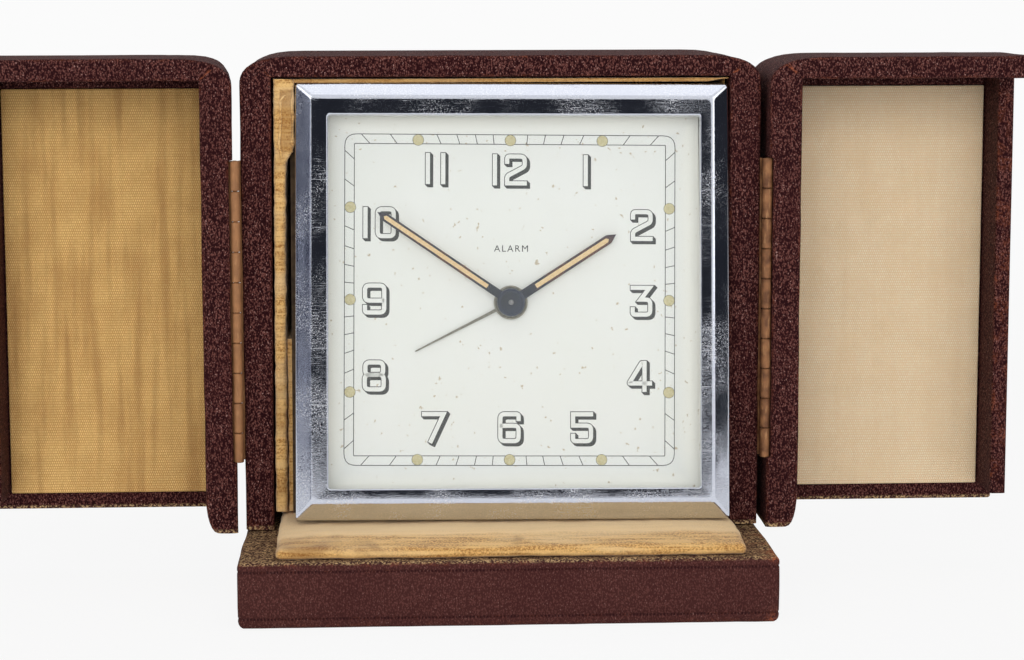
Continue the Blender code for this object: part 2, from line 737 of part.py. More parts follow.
def door_recess_outline():
    """What is left open in front of the low walls: all but the hinge rail and the top."""
    reach = RAIL - FOOT_FLAT
    foot = arc((FOOT_FLAT, DOOR_FOOT + FOOT_RISE), reach, FOOT_RISE, -90.0, 0.0)
    low = DOOR_FOOT - OVERRUN
    top = CASE_HEIGHT - DOOR_TOP_WALL
    return [(FOOT_FLAT, low)] + foot + [(RAIL, top), (HALF, top), (HALF, low)]


def door_sweep_outline():
    """What is left open in front of the skin, so that the closed door passes the pad."""
    reach = RAIL - FOOT_FLAT
    last = 90.0 - math.degrees(math.acos(1 - (DOOR_BOTTOM - DOOR_FOOT) / FOOT_RISE))
    foot = arc((FOOT_FLAT, DOOR_FOOT + FOOT_RISE), reach, FOOT_RISE, -90.0, -last)
    low = DOOR_FOOT - OVERRUN
    return [(FOOT_FLAT, low)] + foot + [(HALF, DOOR_BOTTOM), (HALF, low)]


def make_door(label, side, paint):
    width = HALF - DOOR_GAP / 2
    rim = HINGE_FORWARD - CLEAR
    outer = HINGE_FORWARD - PLINTH_OVERHANG
    pivot = empty(label + "_pivot", (side * (HALF + HINGE_OUT), FRONT_Y - HINGE_FORWARD, 0.0),
                  (0.0, 0.0, math.radians(180.0)))
    across = -side

    def place(outline):
        return [(across * (x + HINGE_OUT), z) for x, z in outline]

    def box(x0, x1, y0, y1, z0, z1):
        xs = sorted((across * (x0 + HINGE_OUT), across * (x1 + HINGE_OUT)))
        return block_mesh((xs[0], y0, z0), (xs[1], y1, z1))

    door = add(label, prism_mesh([place(door_outline())], outer, rim), pivot,
               material=paint["leather"], smooth=True)
    inner_width = width - DOOR_FREE_WALL
    floor = DOOR_FOOT + DOOR_BOTTOM_MARGIN
    ceiling = CASE_HEIGHT - DOOR_TOP_WALL
    cut(door, box(RAIL, inner_width, outer + DOOR_SKIN, rim + OVERRUN, DOOR_BOTTOM - CLEAR,
                  ceiling))
    cut(door, prism_mesh([place(door_sweep_outline())], outer + DOOR_SKIN, rim + OVERRUN))
    cut(door, prism_mesh([place(door_recess_outline())], rim - DOOR_SETBACK, rim + OVERRUN))
    slot_far = rim - LEAF_SETBACK - LEAF_THICK - CLEAR / 2
    slot_near = rim - LEAF_SETBACK + CLEAR / 2
    cut(door, box(-OVERRUN, LEAF_DEEP + CLEAR, slot_far, slot_near,
                  HINGE_SILL - CLEAR, HINGE_SILL + HINGE_LENGTH + CLEAR))
    add(label + "_lining",
        box(RAIL + CLEAR, inner_width - CLEAR, outer + DOOR_SKIN + CLEAR,
            outer + DOOR_SKIN + CLEAR + DOOR_LINING, floor + CLEAR, ceiling - CLEAR),
        pivot, material=paint["fabric"])
    hinge_pivot = empty(label + "_hinge_pivot", (0.0, 0.0, HINGE_SILL), parent=pivot)
    make_side_hinge(label.split("_")[0], side, hinge_pivot, paint)
    low_rim = rim - DOOR_SETBACK
    catch_y = (outer + low_rim) / 2
    edge = across * (width + HINGE_OUT)
    make_catch(label, door, pivot, across, edge, catch_y, paint)


def make_catch(label, door, pivot, across, edge, catch_y, paint):
    """A snap catch on the free edges: a stud on the left door, its socket in the right."""
    at = (catch_y, CATCH_HEIGHT)

    def span(inner, outer):
        return sorted((edge + across * inner, edge + across * outer))

    if label == "left_door":
        cut(door, rod_mesh(CATCH_SHANK_RADIUS + CLEAR, *span(-CATCH_SHANK - CLEAR, OVERRUN),
                           axis="X", at=at))
        stud = add("catch_stud", rod_mesh(CATCH_SHANK_RADIUS,
                                          *span(-CATCH_SHANK, CATCH_PROUD / 2),
                                          axis="X", at=at),
                   pivot, material=paint["hinge_brass"], smooth=True)
        join(stud, rod_mesh(CATCH_STUD_RADIUS, *span(CLEAR / 2, CATCH_PROUD),
                            axis="X", at=at))
    else:
        cut(door, rod_mesh(CATCH_SOCKET_RADIUS + CLEAR, *span(-CATCH_SHANK - CLEAR, OVERRUN),
                           axis="X", at=at))
        socket = add("catch_socket", rod_mesh(CATCH_SOCKET_RADIUS,
                                              *span(-CATCH_SHANK, CATCH_PROUD),
                                              axis="X", at=at),
                     pivot, material=paint["hinge_brass"], smooth=True)
        cut(socket, rod_mesh(CATCH_SOCKET_RADIUS - CATCH_SOCKET_WALL,
                             *span(-CATCH_SHANK + CATCH_SOCKET_WALL, OVERRUN),
                             axis="X", at=at))


# Door in the back of the case

def make_back_door(paint):
    half = BACK_DOOR_WIDTH / 2
    axis_x = half + CLEAR / 2
    axis_y = BACK_Y + HINGE_RADIUS + CLEAR
    low = BACK_DOOR_SILL
    pivot = empty("back_door_pivot", (axis_x, axis_y, 0.0))
    add("back_door", block_mesh((-half - axis_x, BACK_Y - BACK_WALL - axis_y, low),
                                (half - axis_x, BACK_Y - axis_y, low + BACK_DOOR_HEIGHT)),
        pivot, material=paint["leather"])
    knob_x = -half + BACK_KNOB_MARGIN - axis_x
    knob_z = low + BACK_DOOR_HEIGHT / 2
    back = BACK_Y - axis_y
    knob = add("back_door_knob",
               rod_mesh(BACK_KNOB_RADIUS, back + BACK_KNOB_NECK,
                        back + BACK_KNOB_NECK + BACK_KNOB_LENGTH, ROUND_SIDES,
                        at=(knob_x, knob_z)),
               pivot, material=paint["hinge_brass"], smooth=True)
    join(knob, rod_mesh(BACK_KNOB_RADIUS / 2, back + CLEAR,
                        back + BACK_KNOB_NECK + BACK_KNOB_LENGTH / 2, at=(knob_x, knob_z)))
    hinge_low = low + (BACK_DOOR_HEIGHT - BACK_HINGE_LENGTH) / 2
    fixed = empty("back_hinge_axis", (axis_x, axis_y, hinge_low))
    moving = empty("back_hinge_pivot", (0.0, 0.0, hinge_low), parent=pivot)
    near = -HINGE_RADIUS
    for name, parent, side, odd in (("back_hinge_case_leaf", fixed, 1, 0),
                                    ("back_hinge_door_leaf", moving, -1, 1)):
        make_leaf(name, parent, side, BACK_HINGE_LENGTH, BACK_HINGE_KNUCKLES, odd,
                  near + RUN, near + RUN + LEAF_THICK, HINGE_OUT + LEAF_DEEP, paint)
    add("back_hinge_pin", rod_mesh(HINGE_PIN, 0.0, BACK_HINGE_LENGTH, axis="Z"), fixed,
        material=paint["hinge_brass"], smooth=True)


# Clock unit: X across, Y back from the front of the bezel, Z up its face, zero at the hands

def make_clock_seat():
    """The frame of the clock: its lower front edge stands on the pad, leaning back."""
    half = CLOCK_SIZE / 2
    lean_sine, lean_cosine = math.sin(CLOCK_LEAN), math.cos(CLOCK_LEAN)
    low_edge_z = PAD_TOP + CLOCK_LIFT + BEZEL_DEPTH * lean_sine
    low_edge_y = FRONT_Y - CLOCK_FORWARD
    return empty("clock_seat", (CLOCK_SIDEWAYS, low_edge_y + half * lean_sine,
                                low_edge_z + half * lean_cosine), (-CLOCK_LEAN, 0.0, 0.0))


def make_bezel(seat, paint):
    """A square frame of pressed metal: a sloped border, a flat and an upturned lip."""
    half = CLOCK_SIZE / 2
    flat = half - BEZEL_SLOPE
    opening = half - BEZEL_LIP
    loops = [(half, BEZEL_DEPTH), (half, BEZEL_DROP), (flat, 0.0), (opening, 0.0),
             (opening, GLASS_DEPTH), (opening + GLASS_SEAT, GLASS_DEPTH),
             (opening + GLASS_SEAT, BEZEL_DEPTH)]
    bm = bmesh.new()
    rings = [[bm.verts.new((x, depth, z)) for x, z in square(size)] for size, depth in loops]
    for first, second in zip(rings, rings[1:] + rings[:1]):
        for i in range(4):
            j = (i + 1) % 4
            bm.faces.new((first[i], first[j], second[j], second[i]))
    bmesh.ops.recalc_face_normals(bm, faces=bm.faces)
    mesh = bpy.data.meshes.new("bezel")
    bm.to_mesh(mesh)
    bm.free()
    add("bezel", mesh, seat, material=paint["chrome"])


def make_glass(seat, paint):
    half = CLOCK_SIZE / 2 - BEZEL_LIP + GLASS_SEAT - CLEAR
    front = GLASS_DEPTH + CLEAR / 3
    add("glass", block_mesh((-half, front, -half), (half, front + GLASS_THICK, half)),
        seat, material=paint["glass"])


def make_housing(seat, paint):
    half = HOUSING_SIZE / 2
    front = BEZEL_DEPTH + CLEAR
    add("clock_housing", prism_mesh([square(half), square(half - HOUSING_WALL)],
                                    front, HOUSING_REAR), seat, material=paint["tin"])


def make_seat_frame(seat, paint):
    """The board that holds the housing upright in the case, behind the bezel."""
    left = -INNER_HALF + LINING_LEFT + 2 * CLEAR - CLOCK_SIDEWAYS
    right = INNER_HALF - LINING_RIGHT - 2 * CLEAR - CLOCK_SIDEWAYS
    half = CLOCK_SIZE / 2
    low = -half + SEAT_FRAME_LOW
    outline = [(left, low), (right, low), (right, half - CLEAR), (left, half - CLEAR)]
    add("seat_frame", prism_mesh([outline, square(HOUSING_SIZE / 2 + CLEAR)],
                                 SEAT_FRAME_DEPTH, SEAT_FRAME_DEPTH + SEAT_FRAME_THICK),
        seat, material=paint["board"])


def dial_feet():
    return [(side * DIAL_FOOT_PLACE, 0.0) for side in (-1, 1)]


def make_dial(seat, paint):
    half = HOUSING_SIZE / 2 - HOUSING_WALL - CLEAR
    dial = add("dial", prism_mesh([square(half), ring(DIAL_HOLE)], DIAL_DEPTH,
                                  DIAL_DEPTH + DIAL_THICK), seat, material=paint["dial"])
    join(dial, merged([rod_mesh(DIAL_FOOT_RADIUS, DIAL_DEPTH + DIAL_THICK / 2,
                                FRONT_PLATE_DEPTH + PLATE_THICK, 8, at=foot)
                       for foot in dial_feet()]))


def hand_outline(length, width, boss, tail=0.0):
    """A straight hand with a pointed tip, growing out of a round boss."""
    half = width / 2
    edge = math.asin(half / boss)
    blade = [(half, length - HAND_POINT), (0.0, length), (-half, length - HAND_POINT)]
    around = []
    if tail:
        around = [toward(boss, -edge - (math.pi - 2 * edge) * i / 8) for i in range(9)]
        around += [(-half, -tail), (half, -tail)]
        around += [toward(boss, math.pi - edge - (math.pi - 2 * edge) * i / 8)
                   for i in range(9)]
    else:
        around = [toward(boss, -edge - (2 * math.pi - 2 * edge) * i / 20) for i in range(21)]
    return blade + around


def make_hand(name, pivot, length, width, boss, bore, depth, paint):
    return add(name, prism_mesh([hand_outline(length, width, boss), ring(bore, SMALL_SIDES)],
                                depth, depth + HAND_THICK), pivot, material=paint)


def make_hands(seat, paint):
    minute = empty("minute_pivot", (0.0, 0.0, 0.0), (0.0, MINUTE_ANGLE, 0.0), seat)
    hour = empty("hour_pivot", (0.0, 0.0, 0.0), (0.0, HOUR_ANGLE, 0.0), seat)
    alarm = empty("alarm_pivot", (0.0, 0.0, 0.0), (0.0, ALARM_ANGLE, 0.0), seat)
    make_hand("minute_hand", minute, MINUTE_LENGTH, MINUTE_WIDTH, MINUTE_BOSS,
              CENTRE_RADIUS + RUN / 2, MINUTE_DEPTH, paint["blued"])
    make_hand("hour_hand", hour, HOUR_LENGTH, HOUR_WIDTH, HOUR_BOSS,
              CANNON_RADIUS + 2 * RUN, HOUR_DEPTH, paint["blued"])
    make_hand("alarm_hand", alarm, ALARM_LENGTH, ALARM_WIDTH, ALARM_BOSS,
              HOUR_TUBE_RADIUS + 2 * RUN, ALARM_DEPTH, paint["steel"])


# Places of the arbors in the face of the clock

def pair_reach(teeth_a, teeth_b, module):
    return (teeth_a + teeth_b) * module / 2


def arbor_places():
    places = {"centre": (0.0, 0.0), "alarm_barrel": ALARM_BARREL_PLACE,
              "stop": STOP_BUTTON_PLACE}
    places["barrel"] = toward(pair_reach(BARREL_TEETH, CENTRE_PINION_TEETH, BARREL_MODULE),
                              BARREL_DIRECTION)
    places["third"] = toward(pair_reach(CENTRE_TEETH, THIRD_PINION_TEETH, CENTRE_MODULE),
                             THIRD_DIRECTION)
    places["fourth"] = shifted(places["third"],
                               pair_reach(THIRD_TEETH, FOURTH_PINION_TEETH, THIRD_MODULE),
                               FOURTH_DIRECTION)
    places["escape"] = shifted(places["fourth"],
                               pair_reach(FOURTH_TEETH, ESCAPE_PINION_TEETH, FOURTH_MODULE),
                               ESCAPE_DIRECTION)
    places["pallet"] = shifted(places["escape"], PALLET_REACH, PALLET_DIRECTION)
    places["balance"] = shifted(places["pallet"], BALANCE_REACH, BALANCE_DIRECTION)
    places["minute_wheel"] = toward(pair_reach(CANNON_TEETH, MINUTE_TEETH, CANNON_MODULE),
                                    MINUTE_WHEEL_DIRECTION)
    places["alarm_set"] = toward(pair_reach(ALARM_TEETH, ALARM_SET_TEETH, ALARM_MODULE),
                                 ALARM_SET_DIRECTION)
    places["strike"] = shifted(ALARM_BARREL_PLACE,
                               pair_reach(ALARM_BARREL_TEETH, STRIKE_PINION_TEETH,
                                          STRIKE_MODULE), STRIKE_DIRECTION)
    places["hammer"] = shifted(places["strike"], HAMMER_REACH, HAMMER_DIRECTION)
    return places


def direction(start, end):
    """Direction from one place to another, clockwise from twelve."""
    return math.atan2(end[0] - start[0], end[1] - start[1])


# Movement

def make_plates(seat, places, paint):
    half = HOUSING_SIZE / 2 - HOUSING_WALL - CLEAR
    pivots = ("third", "fourth", "escape", "pallet", "balance", "strike", "hammer")
    winders = ("barrel", "alarm_barrel")
    front_holes = [ring(ARBOR_RADIUS + RUN, SMALL_SIDES, places[p]) for p in pivots]
    front_holes += [ring(WINDING_RADIUS + RUN, SMALL_SIDES, places[p]) for p in winders]
    front_holes += [ring(ARBOR_RADIUS + RUN, SMALL_SIDES, places["alarm_set"]),
                    ring(CENTRE_RADIUS + RUN, SMALL_SIDES)]
    front_holes += [ring(DIAL_FOOT_RADIUS + CLEAR / 2, 8, foot) for foot in dial_feet()]
    front = add("front_plate", prism_mesh([square(half)] + front_holes, FRONT_PLATE_DEPTH,
                                          REAR_OF_FRONT_PLATE), seat, material=paint["brass"])
    corners = [(sx * PILLAR_PLACE, sz * PILLAR_PLACE) for sx in (-1, 1) for sz in (-1, 1)]
    stud_front = FRONT_PLATE_DEPTH - HOUR_WHEEL_LAYER
    posts = [rod_mesh(PILLAR_RADIUS, REAR_OF_FRONT_PLATE - PLATE_THICK / 2,
                      BACK_PLATE_DEPTH - CLEAR, at=corner) for corner in corners]
    posts.append(rod_mesh(MOTION_STUD_RADIUS, stud_front, FRONT_PLATE_DEPTH + PLATE_THICK / 2,
                          at=places["minute_wheel"]))
    join(front, merged(posts))
    back_holes = [ring(ARBOR_RADIUS + RUN, SMALL_SIDES, places[p]) for p in pivots]
    back_holes += [ring(WINDING_RADIUS + RUN, SMALL_SIDES, places[p]) for p in winders]
    back_holes += [ring(ARBOR_RADIUS + RUN, SMALL_SIDES, places["alarm_set"]),
                   ring(CENTRE_RADIUS + RUN, SMALL_SIDES),
                   ring(STOP_STEM_RADIUS + RUN, SMALL_SIDES, places["stop"])]
    add("back_plate", prism_mesh([square(BACK_PLATE_SIZE / 2)] + back_holes, BACK_PLATE_DEPTH,
                                 BACK_PLATE_DEPTH + PLATE_THICK), seat,
        material=paint["brass"])


def wheel_arbor(seat, name, place, wheel, pinion, arbor, paint):
    """A wheel and a pinion on one arbor, joined into one piece.

    Wheel and pinion are each an outline list with the layer where they start and their
    thickness. The arbor is its radius, its start and its end.
    """
    radius, start, end = arbor
    piece = add(name, rod_mesh(radius, start, end), seat, (place[0], 0.0, place[1]),
                material=paint, smooth=True)
    for part in (wheel, pinion):
        if part:
            outlines, front, thick = part
            join(piece, prism_mesh(outlines, front, front + thick))
    return piece


def layer(distance):
    return REAR_OF_FRONT_PLATE + distance


def make_going_train(seat, places, paint):
    full = (ARBOR_RADIUS, FRONT_PLATE_DEPTH + CLEAR,
            BACK_PLATE_DEPTH + PLATE_THICK - CLEAR)
    to_third = direction(places["centre"], places["third"])
    to_barrel = direction(places["centre"], places["barrel"])
    to_fourth = direction(places["third"], places["fourth"])
    to_escape = direction(places["fourth"], places["escape"])

    # The centre wheel is a pipe with a wheel and a pinion, loose on the centre arbor
    pipe = CENTRE_RADIUS + RUN
    centre_radius = CENTRE_TEETH * CENTRE_MODULE / 2
    pipe_wall = ALARM_TUBE_RADIUS / 2
    pinion_root = CENTRE_PINION_TEETH * BARREL_MODULE / 2
    wheel_outline = [toothed(CENTRE_TEETH, CENTRE_MODULE, to_third)]
    wheel_outline += crossings(pinion_root + BALANCE_RIM, centre_radius - 2 * BALANCE_RIM, SPOKES,
                               SPOKE_WIDTH)
    wheel_outline.append(ring(pipe, SMALL_SIDES))
    centre = add("centre_wheel", prism_mesh(wheel_outline, layer(CENTRE_WHEEL_LAYER),
                                            layer(CENTRE_WHEEL_LAYER) + WHEEL_THICK),
                 seat, material=paint["brass"])
    join(centre, prism_mesh([leaved(CENTRE_PINION_TEETH, BARREL_MODULE, to_barrel),
                             ring(pipe, SMALL_SIDES)],
                            layer(CENTRE_PINION_LAYER),
                            layer(CENTRE_PINION_LAYER) + PINION_LENGTH))
    join(centre, prism_mesh([ring(pipe_wall, SMALL_SIDES), ring(pipe, SMALL_SIDES)],
                            layer(CENTRE_WHEEL_LAYER) + WHEEL_THICK / 2,
                            layer(CENTRE_PINION_LAYER) + PINION_LENGTH / 2))

    third_radius = THIRD_TEETH * THIRD_MODULE / 2
    outline = [toothed(THIRD_TEETH, THIRD_MODULE, to_fourth)]
    outline += crossings(BALANCE_HUB, third_radius - 2 * BALANCE_RIM, SPOKES, SPOKE_WIDTH)
    wheel_arbor(seat, "third_wheel", places["third"],
                (outline, layer(THIRD_WHEEL_LAYER), WHEEL_THICK),
                ([leaved(THIRD_PINION_TEETH, CENTRE_MODULE, to_third + math.pi)],
                 layer(THIRD_PINION_LAYER), PINION_LENGTH), full, paint["brass"])

    fourth_radius = FOURTH_TEETH * FOURTH_MODULE / 2
    outline = [toothed(FOURTH_TEETH, FOURTH_MODULE, to_escape)]
    outline += crossings(BALANCE_HUB, fourth_radius - 2 * BALANCE_RIM, SPOKES, SPOKE_WIDTH)
    wheel_arbor(seat, "fourth_wheel", places["fourth"],
                (outline, layer(FOURTH_WHEEL_LAYER), WHEEL_THICK),
                ([leaved(FOURTH_PINION_TEETH, THIRD_MODULE, to_fourth + math.pi)],
                 layer(FOURTH_PINION_LAYER), PINION_LENGTH), full, paint["brass"])

    wheel_arbor(seat, "escape_wheel", places["escape"],
                ([ratchet(ESCAPE_TEETH, ESCAPE_TIP, ESCAPE_ROOT)], layer(ESCAPE_WHEEL_LAYER),
                 WHEEL_THICK),
                ([leaved(ESCAPE_PINION_TEETH, FOURTH_MODULE, to_escape + math.pi)],
                 layer(ESCAPE_PINION_LAYER), PINION_LENGTH), full, paint["steel"])


def make_barrel(seat, name, place, teeth, module, radius, facing, paint):
    """A drum that holds a mainspring, with teeth round its front."""
    arbor = WINDING_RADIUS + RUN
    outline = [toothed(teeth, module, facing), ring(arbor, SMALL_SIDES)]
    front = layer(BARREL_LAYER)
    drum = add(name, prism_mesh(outline, front, front + WHEEL_THICK), seat,
               (place[0], 0.0, place[1]), material=paint["brass"])
    join(drum, prism_mesh([ring(radius, DRUM_SIDES), ring(radius - DRUM_WALL, DRUM_SIDES)],
                          front + WHEEL_THICK / 2, front + BARREL_HEIGHT))
    coil = prism_mesh([spiral(SPRING_CORE, radius - DRUM_WALL - SPRING_THICK - CLEAR,
                              SPRING_TURNS, SPRING_THICK)],
                      front + WHEEL_THICK + CLEAR, front + BARREL_HEIGHT - CLEAR)
    add(name.replace("barrel", "mainspring"), coil, seat, (place[0], 0.0, place[1]),
        material=paint["steel"], smooth=True)


def make_winder(seat, label, place, paint):
    """The arbor of a barrel with its ratchet wheel, and the folding key on its end."""
    pivot = empty(label + "_key_pivot", (place[0], 0.0, place[1]), parent=seat)
    end = BEHIND_COVER + KEY_HUB_LENGTH / 2
    arbor = add(label + "_arbor", rod_mesh(WINDING_RADIUS, FRONT_PLATE_DEPTH + CLEAR, end),
                pivot, material=paint["steel"], smooth=True)
    join(arbor, prism_mesh([ratchet(RATCHET_TEETH, RATCHET_RADIUS,
                                    RATCHET_RADIUS - WHEEL_THICK)],
                           BACK_PLATE_DEPTH - RATCHET_LAYER,
                           BACK_PLATE_DEPTH - RATCHET_LAYER + WHEEL_THICK))
    hub_front = BEHIND_COVER + CLEAR
    hub_rear = hub_front + KEY_HUB_LENGTH
    key = add(label + "_key", rod_mesh(KEY_HUB_RADIUS, hub_front, hub_rear), pivot,
              material=paint["brass"], smooth=True)
    lobe_middle = hub_front + KEY_HEIGHT / 2 + KEY_THICK
    inner = KEY_HUB_RADIUS / 2
    wings = []
    for side in (-1, 1):
        outline = arc((side * (KEY_SPAN + inner) / 2, lobe_middle), (KEY_SPAN - inner) / 2,
                      KEY_HEIGHT / 2, 0.0, 330.0, 11)
        wings.append(prism_mesh([outline], -KEY_THICK / 2, KEY_THICK / 2, upright=False))
    join(key, merged(wings))
    cut(key, rod_mesh(WINDING_RADIUS + RUN, hub_front - OVERRUN, end + CLEAR))


def make_centre_group(seat, paint):
    """What turns with the minute hand: the long centre arbor, the cannon and the knob."""
    pivot = empty("setting_pivot", (0.0, 0.0, 0.0), parent=seat)
    end = BEHIND_COVER + SET_KNOB_LENGTH / 2
    add("centre_arbor", rod_mesh(CENTRE_RADIUS, CENTRE_PIN_DEPTH, end), pivot,
        material=paint["steel"], smooth=True)
    bore = ring(CENTRE_RADIUS + RUN / 2, SMALL_SIDES)
    front = FRONT_PLATE_DEPTH - CANNON_LAYER
    facing = direction((0.0, 0.0), arbor_places()["minute_wheel"])
    cannon = add("cannon_pinion",
                 prism_mesh([leaved(CANNON_TEETH, CANNON_MODULE, facing), bore],
                            front - CLEAR / 2, FRONT_PLATE_DEPTH - CLEAR),
                 pivot, material=paint["steel"])
    join(cannon, prism_mesh([ring(CANNON_RADIUS, SMALL_SIDES), bore],
                            MINUTE_DEPTH + HAND_THICK + RUN, front))
    make_knob("time_set_knob", pivot, SET_KNOB_RADIUS, end, CENTRE_RADIUS, paint)


def make_knob(name, pivot, radius, arbor_end, arbor_radius, paint):
    """A knob with a fluted edge, bored from the front for its arbor."""
    grooves = []
    for i in range(2 * KNOB_GROOVES):
        share = 1.0 if i % 2 else 0.9
        grooves.append(toward(radius * share, math.pi * i / KNOB_GROOVES))
    front = BEHIND_COVER + CLEAR
    knob = add(name, prism_mesh([grooves], front, front + SET_KNOB_LENGTH), pivot,
               material=paint["brass"])
    cut(knob, rod_mesh(arbor_radius + RUN, front - OVERRUN, arbor_end + CLEAR))


def make_motion_work(seat, places, paint):
    """The wheels behind the dial that turn the hour hand and the alarm hand."""
    place = places["minute_wheel"]
    to_minute = direction((0.0, 0.0), place)
    bore = ring(MOTION_STUD_RADIUS + RUN, SMALL_SIDES)
    cannon_front = FRONT_PLATE_DEPTH - CANNON_LAYER
    hour_front = FRONT_PLATE_DEPTH - HOUR_WHEEL_LAYER
    minute_module = 2 * pair_reach(CANNON_TEETH, MINUTE_TEETH, CANNON_MODULE)
    minute_module /= MINUTE_PINION_TEETH + HOUR_TEETH
    wheel = add("minute_wheel",
                prism_mesh([toothed(MINUTE_TEETH, CANNON_MODULE, to_minute + math.pi), bore],
                           cannon_front, cannon_front + MOTION_WHEEL_THICK), seat,
                (place[0], 0.0, place[1]), material=paint["brass"])
    join(wheel, prism_mesh([leaved(MINUTE_PINION_TEETH, minute_module, to_minute + math.pi),
                            bore],
                           hour_front, cannon_front + MOTION_WHEEL_THICK / 2))
    bore = ring(CANNON_RADIUS + RUN, SMALL_SIDES)
    hour = add("hour_wheel",
               prism_mesh([toothed(HOUR_TEETH, minute_module, to_minute), bore],
                          hour_front, hour_front + MOTION_WHEEL_THICK), seat,
               material=paint["brass"])
    join(hour, prism_mesh([ring(HOUR_TUBE_RADIUS), bore], HOUR_DEPTH + HAND_THICK + RUN,
                          hour_front + MOTION_WHEEL_THICK / 2))
    alarm_front = FRONT_PLATE_DEPTH - ALARM_WHEEL_LAYER
    to_set = direction((0.0, 0.0), places["alarm_set"])
    bore = ring(HOUR_TUBE_RADIUS + RUN)
    alarm = add("alarm_wheel",
                prism_mesh([toothed(ALARM_TEETH, ALARM_MODULE, to_set), bore],
                           alarm_front, alarm_front + MOTION_WHEEL_THICK), seat,
                material=paint["brass"])
    join(alarm, prism_mesh([ring(ALARM_TUBE_RADIUS), bore], ALARM_DEPTH + HAND_THICK + RUN,
                           alarm_front + MOTION_WHEEL_THICK / 2))


def make_alarm_setting(seat, places, paint):
    place = places["alarm_set"]
    pivot = empty("alarm_set_pivot", (place[0], 0.0, place[1]), parent=seat)
    end = BEHIND_COVER + SET_KNOB_LENGTH / 2
    alarm_front = FRONT_PLATE_DEPTH - ALARM_WHEEL_LAYER
    arbor = add("alarm_set_arbor", rod_mesh(ARBOR_RADIUS, alarm_front, end), pivot,
                material=paint["steel"], smooth=True)
    facing = direction(place, (0.0, 0.0))
    join(arbor, prism_mesh([leaved(ALARM_SET_TEETH, ALARM_MODULE, facing)],
                           alarm_front - CLEAR / 2, alarm_front + MOTION_WHEEL_THICK))
    make_knob("alarm_set_knob", pivot, ALARM_KNOB_RADIUS, end, ARBOR_RADIUS, paint)


def make_escapement(seat, places, paint):
    """The lever and the balance, with its flat hairspring."""
    place = places["pallet"]
    front = layer(ESCAPE_WHEEL_LAYER)
    full = (FRONT_PLATE_DEPTH + CLEAR, BACK_PLATE_DEPTH + PLATE_THICK - CLEAR)
    half = LEVER_WIDTH / 2
    outline = [(-PALLET_SPAN, PALLET_RISE), (-PALLET_SPAN, -half), (-half, -LEVER_WIDTH),
               (-half / 2, -LEVER_LENGTH), (half / 2, -LEVER_LENGTH), (half, -LEVER_WIDTH),
               (PALLET_SPAN, -half), (PALLET_SPAN, PALLET_RISE),
               (PALLET_SPAN - half, PALLET_RISE), (0.0, half),
               (half - PALLET_SPAN, PALLET_RISE)]
    lever = add("pallet_lever", prism_mesh([outline], front, front + WHEEL_THICK), seat,
                (place[0], 0.0, place[1]), material=paint["steel"])
    join(lever, rod_mesh(ARBOR_RADIUS, *full))
    place = places["balance"]
    front = layer(BALANCE_LAYER)
    outline = [ring(BALANCE_RADIUS)] + crossings(BALANCE_HUB, BALANCE_RADIUS - BALANCE_RIM, 2,
                                                 SPOKE_WIDTH, 10)
    balance = add("balance_wheel", prism_mesh(outline, front, front + WHEEL_THICK), seat,
                  (place[0], 0.0, place[1]), material=paint["brass"])
    join(balance, rod_mesh(ARBOR_RADIUS, *full))
    front = layer(HAIRSPRING_LAYER)
    add("hairspring", prism_mesh([spiral(HAIRSPRING_INNER, HAIRSPRING_OUTER,
                                         HAIRSPRING_TURNS, HAIRSPRING_THICK)],
                                 front, front + LEAF_THICK), seat,
        (place[0], 0.0, place[1]), material=paint["blued"])


def make_alarm_train(seat, places, paint):
    """The wheel that the alarm barrel turns, and the hammer that it shakes."""
    full = (ARBOR_RADIUS, FRONT_PLATE_DEPTH + CLEAR, BACK_PLATE_DEPTH + PLATE_THICK - CLEAR)
    facing = direction(places["strike"], ALARM_BARREL_PLACE)
    front = layer(STRIKE_WHEEL_LAYER)
    wheel_arbor(seat, "strike_wheel", places["strike"],
                ([ratchet(STRIKE_TEETH, STRIKE_TIP, STRIKE_ROOT)], front, WHEEL_THICK),
                ([leaved(STRIKE_PINION_TEETH, STRIKE_MODULE, facing)],
                 layer(STRIKE_PINION_LAYER), PINION_LENGTH), full, paint["steel"])
    place = places["hammer"]
    half = HAMMER_ARM_WIDTH / 2
    pivot = empty("hammer_pivot", (place[0], 0.0, place[1]),
                  (0.0, HAMMER_SWING_DIRECTION, 0.0), seat)
    outline = [(-half, -half), (half, -half), (half, HAMMER_ARM), (-half, HAMMER_ARM)]
    hammer = add("hammer", prism_mesh([outline], front, front + WHEEL_THICK), pivot,
                 material=paint["steel"])
    join(hammer, rod_mesh(ARBOR_RADIUS, full[1], full[2]))
    head_rear = BACK_PLATE_DEPTH - CLEAR
    join(hammer, rod_mesh(HAMMER_HEAD_RADIUS, head_rear - HAMMER_HEAD_LENGTH, head_rear,
                          at=(0.0, HAMMER_ARM)))


